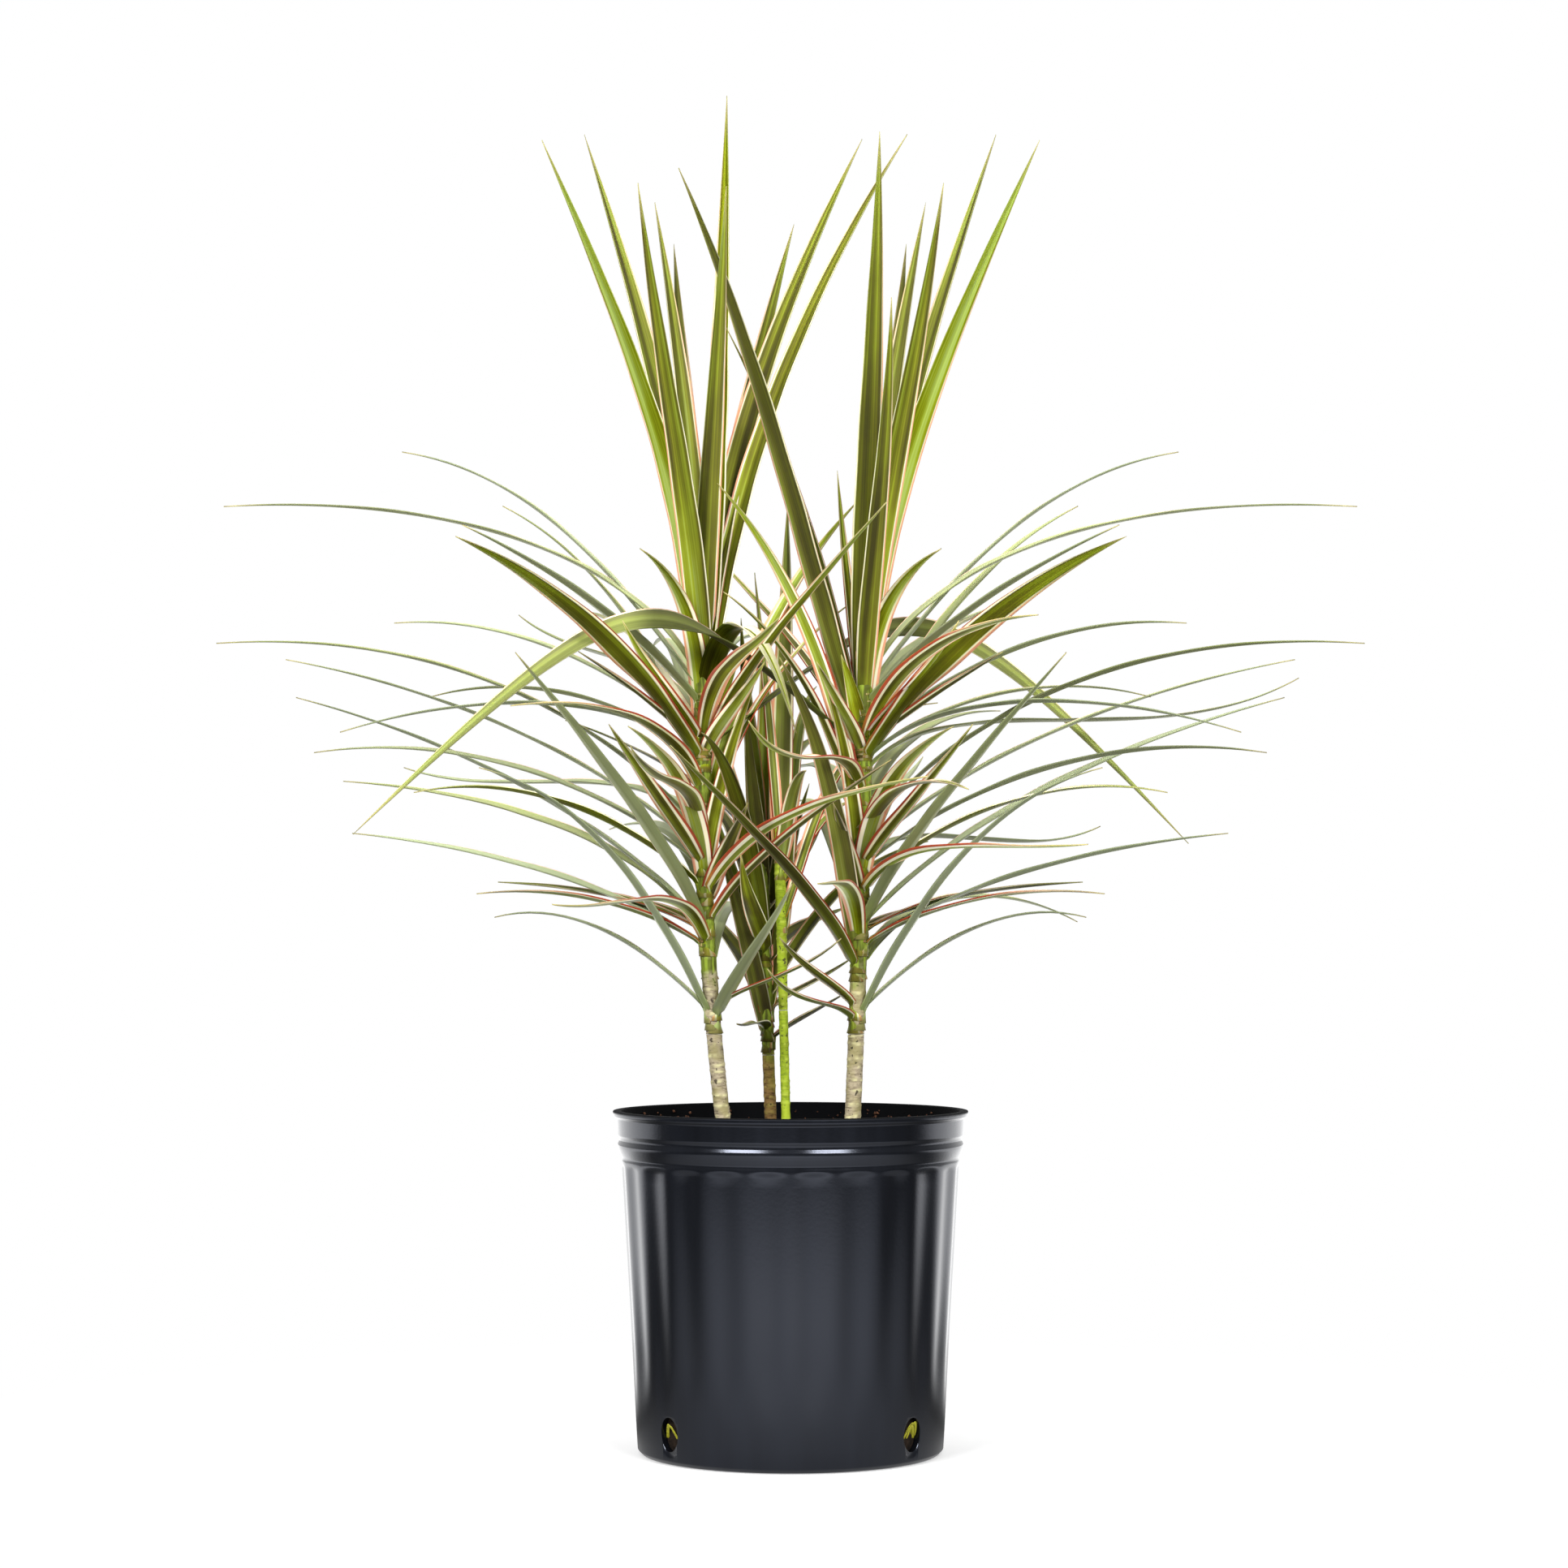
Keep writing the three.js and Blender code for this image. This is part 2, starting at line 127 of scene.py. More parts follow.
studio = {
    "cameraPlace": (-0.00465, -2.5, 0.366),
    "tiltUp": 1.386,        # degrees
    "shiftUp": 0.0445,
    "lens": 80.1,           # mm
    "sensor": 36,
    "lights": [
        # name, place, target, size, power
        ("keyLight", (-1.3, -1.9, 1.7), (0, 0, 0.45), (1.1, 0.7), 70),
        ("fillLight", (1.05, -2.0, 1.5), (0, 0, 0.45), (1.0, 0.7), 60),
        ("topLight", (0, 0.2, 2.4), (0, 0, 0.5), (1.6, 1.6), 44),
    ],
    # Two places, and the brightness or the share at either
    "room": (0.3, 0.8, 0.25, 1.0),      # round the pot, towards the back
    "evenWhite": (0.15, 0.7, 0.45, 1.0),    # share of the paper's own light, away from the pot
    "pool": (0.1, 0.75, 1.9, 0.15),     # light on the paper before the pot, from its middle out
    "sweep": (0.1, 0.6, 0.0, 2.1),      # light on the paper behind the pot
    "poolMiddle": (0, -0.65, 0),
    "poolNarrowing": (0.65, 1, 1),
    "paper": (0.92, 0.92, 0.92, 1),
    "floorSize": 12.0,
    "floorHeight": -0.0005,
}


def makeStudio():
    cameraData = bpy.data.cameras.new("camera")
    cameraData.lens = studio["lens"]
    cameraData.sensor_width = studio["sensor"]
    cameraData.shift_y = studio["shiftUp"]
    camera = addObject("camera", cameraData)
    camera.location = studio["cameraPlace"]
    camera.rotation_euler = (math.radians(90 + studio["tiltUp"]), 0, 0)
    bpy.context.scene.camera = camera

    for name, place, target, size, power in studio["lights"]:
        lightData = bpy.data.lights.new(name, "AREA")
        lightData.shape = "RECTANGLE"
        lightData.size, lightData.size_y = size
        lightData.energy = power
        light = addObject(name, lightData)
        light.location = place
        toTarget = Vector(target) - Vector(place)
        light.rotation_euler = toTarget.to_track_quat("-Z", "Y").to_euler()

    # A white backdrop behind, a dimmer room in front, and plain white to the camera
    world = bpy.data.worlds.new("studioLight")
    world.use_nodes = True
    tree = world.node_tree
    tree.nodes.clear()
    place = addNode(tree, "TexCoord")
    parts = addNode(tree, "SeparateXYZ", [place.outputs["Generated"]])
    strength = addNode(tree, "MapRange", [parts.outputs["Y"], *studio["room"]])
    glow = addNode(tree, "Background", {"Color": (1, 1, 1, 1), "Strength": strength})
    white = addNode(tree, "Background", {"Color": (1, 1, 1, 1), "Strength": 1.0})
    path = addNode(tree, "LightPath")
    both = addNode(tree, "MixShader", [path.outputs["Is Camera Ray"], glow, white])
    addNode(tree, "OutputWorld", {"Surface": both})
    bpy.context.scene.world = world
    bpy.context.scene.view_settings.view_transform = "Standard"

    # Matt white paper under the pot, lit evenly white further out. What it throws back on the
    # plant is a pool of light in front of the pot and the bright sweep behind it
    material, tree = newMaterial("paperFloor")
    place = addNode(tree, "TexCoord").outputs["Object"]
    distance = addNode(tree, "VectorMath", [place], operation="LENGTH")
    outward = addNode(tree, "MapRange", [distance.outputs["Value"], *studio["evenWhite"]])
    paper = addNode(tree, "BsdfPrincipled", {"Base Color": studio["paper"], "Roughness": 0.9})
    lit = addNode(tree, "Emission", {"Strength": 1.0})
    seen = addNode(tree, "MixShader", [outward, paper, lit])
    narrowed = addNode(tree, "VectorMath", [place, studio["poolNarrowing"]],
                       operation="MULTIPLY")
    toPool = addNode(tree, "VectorMath", [narrowed, studio["poolMiddle"]],
                     operation="DISTANCE")
    inPool = addNode(tree, "MapRange", [toPool.outputs["Value"], *studio["pool"]])
    parts = addNode(tree, "SeparateXYZ", [place])
    inSweep = addNode(tree, "MapRange", [parts.outputs["Y"], *studio["sweep"]])
    strength = addNode(tree, "Math", [inPool, inSweep], operation="MAXIMUM")
    thrown = addNode(tree, "Emission", {"Strength": strength})
    path = addNode(tree, "LightPath")
    both = addNode(tree, "MixShader", [path.outputs["Is Camera Ray"], thrown, seen])
    addNode(tree, "OutputMaterial", {"Surface": both})
    bm = bmesh.new()
    bmesh.ops.create_grid(bm, x_segments=1, y_segments=1, size=studio["floorSize"] / 2)
    floor = addMesh("floor", bm)
    floor.data.materials.append(material)
    floor.location.z = studio["floorHeight"]
    print("studio done")


# Stems and the curves of the leaves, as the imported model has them

# A stem's place at stemLevel, how far it leans and bows from there up to leanTop, its radius,
# and the heights at which its leafy part starts and ends
stems = {
    "left": {"x": -47, "y": 0, "leanX": -15, "leanY": 0, "bow": -26, "radius": 5.8,
             "leafFoot": 297, "top": 572},
    "right": {"x": 44, "y": 0, "leanX": 9, "leanY": 0, "bow": 6, "radius": 6,
              "leafFoot": 297, "top": 572},
    "middle": {"x": -14, "y": 36, "leanX": -12, "leanY": 6, "bow": 0, "radius": 4.6,
               "leafFoot": 281, "top": 452},
    "shoot": {"x": -3, "y": 8, "leanX": -8, "leanY": 24, "bow": 0, "radius": 3.5,
              "leafFoot": 314, "top": 452},
}
stemLevel = 225
leanTop = 560
stemFoot = 160
gap = 0.3              # between two pieces that touch
handle = {"root": 0.26, "tip": 0.4}  # handles of a leaf's curve, as shares of its chord

# Leaves, one a row: tone, height of the root on the stem, the tip's x, y and z, the slope in
# degrees at the root and at the tip, the width, and, where they aren't plain, the bow of a leaf
# that arches more and the twist in degrees of one whose face turns
outwardLeaves = [
    ("spire", 520, -171, -120, 914, 87, 56, 18, 1.2),
    ("brown", 525, -155, 110, 971, 86, 64, 17, 1.2),
    ("spire", 530, -104, -140, 880, 86, 68, 18, 1.1),
    ("brown", 535, -100, 60, 909, 88, 72, 17, 1.1),
    ("dark", 540, -88, 130, 892, 87, 70, 17),
    ("edged", 498, -105, -80, 637, 86, 14, 16, 1.3),
    ("arc", 545, -408, 0, 676, 66, -3, 13, 1.1),
    ("arc", 540, -284, 40, 721, 52, 10, 14),
    ("arc", 530, -226, -110, 650, 46, 20, 14),
    ("green", 490, -224, -180, 634, 49, 14, 19, 1, 40),
    ("arc", 500, -212, 60, 684, 60, 27, 13),
    ("arc", 505, -286, 10, 593, 42, -4, 12),
    ("arc", 440, -408, -30, 575, 50, -4, 13, 1.1),
    ("arc", 425, -370, 50, 570, 44, 11, 13),
    ("arc", 372, -368, 90, 545, 48, 15, 13),
    ("arc", 490, -316, -60, 510, 50, -18, 13),
    ("arc", 492, -262, 30, 541, 44, -14, 12),
    ("arc", 415, -345, 20, 500, 42, -8, 13),
    ("lime", 400, -262, -80, 467, 42, -12, 15),
    ("arc", 360, -322, 60, 443, 32, 6, 13),
    ("green", 358, -220, -60, 397, 34, -6, 15),
    ("dark", 368, -214, 50, 407, 34, 4, 14),
    ("arc", 310, -214, 20, 381, 46, -14, 12),
    ("arc", 370, -187, -140, 560, 57, 40, 14),
    ("edged", 415, -125, -110, 513, 42, 39, 15),
    ("arc", 305, -216, -90, 484, 59, 12, 13),
    ("edged", 385, -110, -150, 509, 86, 10, 16, 1.3),
    ("edged", 500, -149, -60, 567, 40, 28, 13),
    ("dark", 372, -134, 60, 400, 22, 14, 14),
    ("pale", 515, -164, 40, 604, 44, -4, 12),
    ("edged", 505, -117, -80, 587, 46, 50, 12),
    ("green", 385, -30, -40, 462, 78, 55, 14),
    ("edged", 400, -25, -35, 548, 84, 60, 13),
    ("lime", 492, -36, -20, 568, 86, 62, 13),
    ("edged", 490, -18, -60, 560, 70, 45, 13),
]
inwardLeaves = [
    ("edged", 450, 52, 40, 688, 76, 46, 13),
    ("edged", 490, 66, -130, 664, 66, 38, 12),
    ("edged", 450, 48, 30, 612, 66, 34, 14),
    ("folded", 500, 300, 118, 436, 36, -44, 16, 2, 75),
]
leftLeaves = [
    ("spire", 540, -46, 10, 976, 85, 89, 18),
    ("spire", 535, -44, -130, 880, 95, 70, 17, 1.1),
    ("spire", 530, 3, 120, 905, 84, 62, 17),
    ("spire", 525, 54, 90, 963, 87, 60, 18, 1.2),
    ("spire", 520, 86, 40, 955, 84, 58, 17, 1.1),
    ("pale", 515, 4, -80, 508, 84, -68, 17, 3),
    ("edged", 372, 70, -85, 490, 60, 30, 14),
    ("arc", 303, 1, -70, 404, 62, 54, 13),
    ("green", 312, 36, -30, 366, 50, 44, 12),
]
rightLeaves = [
    ("brown", 503, -79, -60, 908, 68, 64, 18, 0.9),
    ("brown", 500, -46, -20, 802, 78, 62, 9),
    ("spire", 525, 62, -80, 929, 96, 86, 20),
    ("spire", 520, 68, -150, 800, 86, 84, 15),
    ("green", 505, 34, 20, 705, 86, 84, 9),
    ("brown", 346, -8, -100, 560, 74, 40, 16),
    ("brown", 340, -82, -140, 497, 57, 36, 16),
    ("green", 312, -8, -60, 367, 54, 46, 12),
    ("green", 303, -16, -90, 345, 50, 46, 12),
]
# Most of the middle plant's blades take the dark tone, which paints them in shade
middleLeaves = [
    ("dark", 290, 40, 44, 326, 42, 34, 15),
    ("dark", 310, 46, 70, 352, 48, 36, 13),
    ("dark", 296, -38, -50, 306, 44, 10, 12),
    ("pale", 380, 24, 74, 452, 62, 60, 12),
    ("lime", 350, -35, -60, 425, 66, 60, 14),
    ("dark", 288, -52, 12, 440, 80, 72, 14),
    ("dark", 300, -60, 60, 470, 82, 70, 14),
    ("dark", 306, 14, 66, 480, 80, 66, 14),
    ("green", 320, -34, 84, 520, 84, 76, 14),
    ("dark", 335, -46, 18, 500, 84, 80, 13),
    ("dark", 350, -2, 84, 560, 84, 78, 13),
    ("green", 365, -58, 56, 540, 84, 74, 13),
    ("dark", 385, -32, 16, 532, 88, 84, 12),
    ("green", 410, -20, 70, 590, 86, 84, 12),
    ("dark", 430, -36, 44, 600, 88, 88, 12),
]
shootLeaves = [
    ("green", 420, -2, 112, 694, 84, 82, 17),
    ("green", 425, -26, 30, 632, 86, 84, 9),
]

# The rest of the leaves: stem, tone, how many, the range of heights, the range of headings in
# degrees (0 to the right, 90 to the back), and a leaf's reach, lift, slope at the root and width
fillLeaves = [
    ("left", "arc", 9, 330, 540, 50, 160, 300, 90, 50, 14),
    ("left", "edged", 5, 340, 520, -130, -62, 250, 60, 50, 15),
    ("right", "arc", 9, 330, 540, 20, 130, 300, 90, 50, 14),
    ("right", "edged", 5, 340, 520, -118, -50, 250, 60, 50, 15),
    ("middle", "dark", 12, 300, 445, 0, 360, 120, 110, 50, 14),
    ("shoot", "green", 9, 330, 445, -60, 200, 100, 150, 50, 13),
]

growth = {
    "turn": 0.618,         # from one leaf's heading to the next, a share of the rule's range
    "firstTurn": 0.3,
    # The least of each, and how much a draw adds
    "reach": (0.75, 0.5),  # shares of the rule's value
    "lift": (0.4, 1),
    "rise": (0, 22),       # degrees, on top of the rule's slope
    "droop": (-16, 46),    # degrees
    "seed": 20177,
}

# How far a leaf's middle line keeps from other stems' leaves and from its own stem's, which
# counts from partShare of its length on, and how it is swung aside to reach that
clearance = {"others": 14, "own": 9, "partShare": 0.4, "samples": 24, "attempts": 24, "swing": 5}


def stemPoint(stem, z):
    share = (z - stemLevel) / (leanTop - stemLevel)
    return Vector((
        stem["x"] + stem["leanX"] * share + stem["bow"] * share * (1 - share),
        stem["y"] + stem["leanY"] * share,
        z,
    ))


def whole(leaf):
    # The row with its bow and twist, which a plain leaf's row leaves out
    return (*leaf, *(1, 0)[len(leaf) - 8:])


def leafCurve(stem, leaf):
    # The four points of the blade's middle line, a cubic curve, and its heading
    _, root, x, y, z, rise, droop, _, bow, _ = whole(leaf)
    start = stemPoint(stem, root)
    tip = Vector((x, y, z))
    heading = math.atan2(y - start.y, x - start.x)
    chord = (tip - start).length

    def along(slope):
        slope = math.radians(slope)
        level = math.cos(slope)
        return Vector((math.cos(heading) * level, math.sin(heading) * level, math.sin(slope)))

    rootHandle = start + along(rise) * (handle["root"] * chord * bow)
    tipHandle = tip - along(droop) * (handle["tip"] * chord * bow)
    return (start, rootHandle, tipHandle, tip), heading


def curvePoint(points, t):
    a, b, c, d = points
    s = 1 - t
    return a * (s * s * s) + b * (3 * s * s * t) + c * (3 * s * t * t) + d * (t * t * t)


def curveTangent(points, t):
    a, b, c, d = points
    s = 1 - t
    return ((b - a) * (s * s) + (c - b) * (2 * s * t) + (d - c) * (t * t)).normalized()


def leafLine(stem, leaf):
    points, _ = leafCurve(stem, leaf)
    count = clearance["samples"]
    return np.array([curvePoint(points, i / count) for i in range(count + 1)])


def isClear(name, leaf, standing):
    line = leafLine(stems[name], leaf)
    for otherName, other in standing:
        own = otherName == name
        first = round(clearance["samples"] * clearance["partShare"]) if own else 1
        least = clearance["own"] if own else clearance["others"]
        apart = np.linalg.norm(line[first:, None] - other[None, first:], axis=2)
        if apart.min() < least:
            return False
    return True


def growLeaf(name, tone, rule, index, draws, standing):
    # A leaf of the rule, swung aside in small steps until it keeps clear of the others
    count, low, high, fromTurn, toTurn, reach, lift, steep, width = rule

    def drawn(what):
        least, more = growth[what]
        return least + more * draws.between()

    root = mix(low, high, (index + 0.5) / count)
    turn = (index * growth["turn"] + growth["firstTurn"]) % 1
    heading = mix(fromTurn, toTurn, turn)
    reach *= drawn("reach")
    lift *= drawn("lift")
    rise = steep + drawn("rise")
    droop = drawn("droop")
    start = stemPoint(stems[name], root)
    for attempt in range(clearance["attempts"]):
        side = clearance["swing"] if attempt % 2 else -clearance["swing"]
        angle = math.radians(heading + math.ceil(attempt / 2) * side)
        leaf = (tone, root, start.x + reach * math.cos(angle), start.y + reach * math.sin(angle),
                root + lift, rise, droop, width)
        if isClear(name, leaf, standing):
            return leaf
    return None


def mirrored(leaf, depth):
    tone, root, x, y, z, rise, droop, width, bow, twist = whole(leaf)
    return (tone, root, -x, y * depth, z, rise, droop, width, bow, -twist)


def listLeaves():
    leaves = {
        "left": outwardLeaves + inwardLeaves + leftLeaves,
        "right": [mirrored(leaf, 1) for leaf in outwardLeaves]
        + [mirrored(leaf, -1) for leaf in inwardLeaves] + rightLeaves,
        "middle": list(middleLeaves),
        "shoot": list(shootLeaves),
    }
    standing = []
    for name, stem in stems.items():
        low, high = stemPoint(stem, stemLevel), stemPoint(stem, stem["top"])
        axis = [low.lerp(high, i / clearance["samples"]) for i in range(clearance["samples"] + 1)]
        standing.append((name, np.array(axis)))
    for name, rows in leaves.items():
        standing += [(name, leafLine(stems[name], leaf)) for leaf in rows]
    draws = Draws(growth["seed"])
    for name, tone, *rule in fillLeaves:
        for index in range(rule[0]):
            leaf = growLeaf(name, tone, rule, index, draws, standing)
            if leaf:
                leaves[name].append(leaf)
                standing.append((name, leafLine(stems[name], leaf)))
    return leaves


# Leaves

blade = {
    "fold": 0.16,          # depth of the fold, a share of the width
    "crease": 1.25,        # how round the fold is: 1 is a sharp V, 2 a trough
    "sheath": 0.55,        # width at the root, a share of the width
    "widest": 0.3,         # share of the length where the blade is widest
    "taper": 2.0,          # how late the blade narrows to its tip
    "end": 0.9985,         # share of the length where it ends, before its width is nothing
    "turn": 1.6,           # how far a steep blade's face turns to the front or the back
    "steep": (58, 80),     # slopes at the root between which that sets in
    "twisted": (0.22, 0.5),  # shares of the length between which a twist happens
    "paleFrom": (0.46, 0.56),  # where on an arching blade its pale face starts to show
    # Painted shade on an arching blade up to its top, where its face is turned from the lamps
    "paintedArchShade": 0.33,          # brightness before that
    "arching": 2,          # least bow of such a blade
    "thickness": 0.8,
    "across": 10,          # faces from margin to margin
    "stretch": 8,          # length of one face along the blade
    "leastRows": 14,
    "clasp": (3, 15),      # distances from the root between which the base lets go of the stem
    "wrap": 80,            # how far it reaches round the stem to either side, in degrees
    "claspOut": (0.6, 0.04),   # its distance from the stem, and how that grows with its length
    "claspUp": (-5, 0.9),  # its height above the root, and how that grows with its length
    "waver": 15,           # most that a blade turns of itself, in degrees
    "wavered": (0.1, 0.6),   # shares of the length between which it does
    "wave": 0.4 / 7,       # how far the margins rise and fall, a share of half the width
    "waveLength": 75,
    "seed": 9001,
}

# Share of cream line, share of red margin, brightness, and tint from grey (0) to brown (1)
leafTones = {
    "spire": (0.18, 0.28, 1.18, 0.52),
    "brown": (0.14, 0.45, 0.88, 0.66),
    # The dark tone's low brightness is painted shade, for blades deep in the crown
    "dark": (0.15, 0.30, 0.66, 0.64),
    "arc": (0.02, 0.02, 1.28, 0.10),
    "edged": (0.75, 0.80, 1.40, 0.46),
    "green": (0.40, 0.65, 1.14, 0.40),
    "lime": (0.30, 0.10, 1.35, 0.45),
    "pale": (3.40, 0.05, 0.84, 0.42),
    "folded": (0.22, 0.05, 1.26, 0.28),
}
# How far these differ from blade to blade: the first three as factors, the tint as a step
toneSpread = ((0.7, 1.3), (0.7, 1.3), (0.82, 1.18), (-0.09, 0.09))


def widthShare(share):
    widest = blade["widest"]
    if share < widest:
        return mix(blade["sheath"], 1, math.sin(share / widest * math.pi / 2))
    return 1 - ((share - widest) / (1 - widest)) ** blade["taper"]


def addLeaf(bm, stem, leaf, shadeLayer, draws):
    points, heading = leafCurve(stem, leaf)
    tone, root, _, _, _, rise, _, width, bow, twist = whole(leaf)
    along = [curvePoint(points, i / 16) for i in range(17)]
    length = sum((end - start).length for start, end in zip(along, along[1:]))
    rows = max(blade["leastRows"], round(length / blade["stretch"]))
    level = Vector((-math.sin(heading), math.cos(heading), 0))
    level.x += math.copysign(blade["turn"] * smoothStep(*blade["steep"], rise), level.x)
    waver = draws.between(-blade["waver"], blade["waver"])
    phase = draws.between(0, 2 * math.pi)
    # Flipping the side for blades heading right keeps the painted lit margin and the painted
    # brighter half on the upper side
    toLeft = -1 if math.cos(heading) > 0 else 1
    spread = [draws.between(*limits) for limits in toneSpread]
    cream, red, light = [value * by for value, by in zip(leafTones[tone], spread[:3])]
    tint = leafTones[tone][3] + spread[3]
    grid = bmesh.ops.create_grid(bm, x_segments=blade["across"], y_segments=rows, size=0.5,
                                 calc_uvs=True)
    for vert in grid["verts"]:
        side, share = vert.co.x * 2 * toLeft, min(vert.co.y + 0.5, blade["end"])
        tangent = curveTangent(points, share)
        turn = twist * smoothStep(*blade["twisted"], share)
        turn += waver * smoothStep(*blade["wavered"], share)
        wide = (level - tangent * level.dot(tangent)).normalized()
        wide.rotate(Matrix.Rotation(math.radians(turn), 3, tangent))
        up = tangent.cross(wide)
        half = width / 2 * widthShare(share)
        ripple = math.sin(share * length / blade["waveLength"] * 2 * math.pi + phase)
        lift = blade["fold"] * 2 * half * abs(side) ** blade["crease"]
        lift += blade["wave"] * half * side ** 2 * ripple
        place = curvePoint(points, share) + wide * (half * side) + up * lift

        # The base wraps the stem and lies against it
        fromRoot = share * length
        clasp = 1 - smoothStep(*blade["clasp"], fromRoot)
        if clasp > 0:
            reach = stem["radius"] + blade["claspOut"][0] + blade["claspOut"][1] * fromRoot
            angle = heading - side * math.radians(blade["wrap"])
            held = stemPoint(stem, root + blade["claspUp"][0] + blade["claspUp"][1] * fromRoot)
            held += Vector((math.cos(angle), math.sin(angle), 0)) * reach
            place = place.lerp(held, clasp)
        vert.co = place * mm

        # A blade that arches over gets painted shade up to the top, where its face is turned from
        # the lamps, and shows its pale face from there
        pale = smoothStep(*blade["paleFrom"], share) if bow >= blade["arching"] else 1
        vert[shadeLayer] = (cream * pale, red, light * mix(blade["paintedArchShade"], 1, pale), tint)


def makeFoliage(name, leaves, material):
    bm = bmesh.new()
    bm.loops.layers.uv.new("blade")
    shadeLayer = bm.verts.layers.float_color.new("shade")
    draws = Draws(blade["seed"] + len(leaves))
    for leaf in leaves:
        addLeaf(bm, stems[name], leaf, shadeLayer, draws)
    piece = finishPiece(f"blades_{name}", bm, material, [f"foliage_{name}"])
    wall = piece.modifiers.new("thickness", "SOLIDIFY")
    wall.thickness = blade["thickness"] * mm
    wall.offset = 0


leafLook = {
    # Steps of each pattern across a blade, along it, and from blade to blade. Veins are a
    # little under a millimetre apart, and the streaks take half a blade
    "veins": (22.0, 1.5, 1.0), "streaks": (1.8, 0.7, 40.0), "patches": (0.8, 4.0, 9.0),
    "shares": {"veins": 0.4, "streaks": 1.0, "patches": 0.38, "base": -0.14},
    "greens": [(0.55, "352e00"), (0.70, "5c5c00"), (0.82, "7b8612"), (0.96, "8f9e52")],
    "grey": "8f9878", "brown": "4c3410",
    # The salmon is the red margin painted lit, for the upper side of a blade
    "cream": "ece6c8", "paintedLitSalmon": "eaa488", "red": "863420",
    # The bands: how much broader on the upper margin, how wavy, their widths for a share of 1,
    # and how the red narrows along the blade
    "lean": -0.16, "wavy": 0.12, "redWidth": 0.42, "creamWidth": 0.3, "narrowing": (-0.5, 1.06),
    # Two values, and what they turn into
    "creamFrom": (0.95, 1.03, 0.0, 0.9),    # from the middle line to the margin
    "redFrom": (1.0, 1.05, 0.0, 1.0),
    "bandsLeft": (0.6, 0.88, 1.0, 0.2),     # along the blade
    # Painted light and shade: the upper half of a blade painted brighter, the lower one darker
    "paintedFoldShading": (0.44, 0.56, 1.12, 0.68),     # brightness on the two sides of the fold
    "glow": (0.15, 0.45, 0.05, 0.3),        # light let through, by tint
    "zones": [("7f9222", (0.16, 0.03, 0.0, 0.45)), ("6f5a30", (0.03, 0.012, 0.0, 0.6)),
              ("93885c", (0.93, 0.99, 0.0, 0.8))],
}


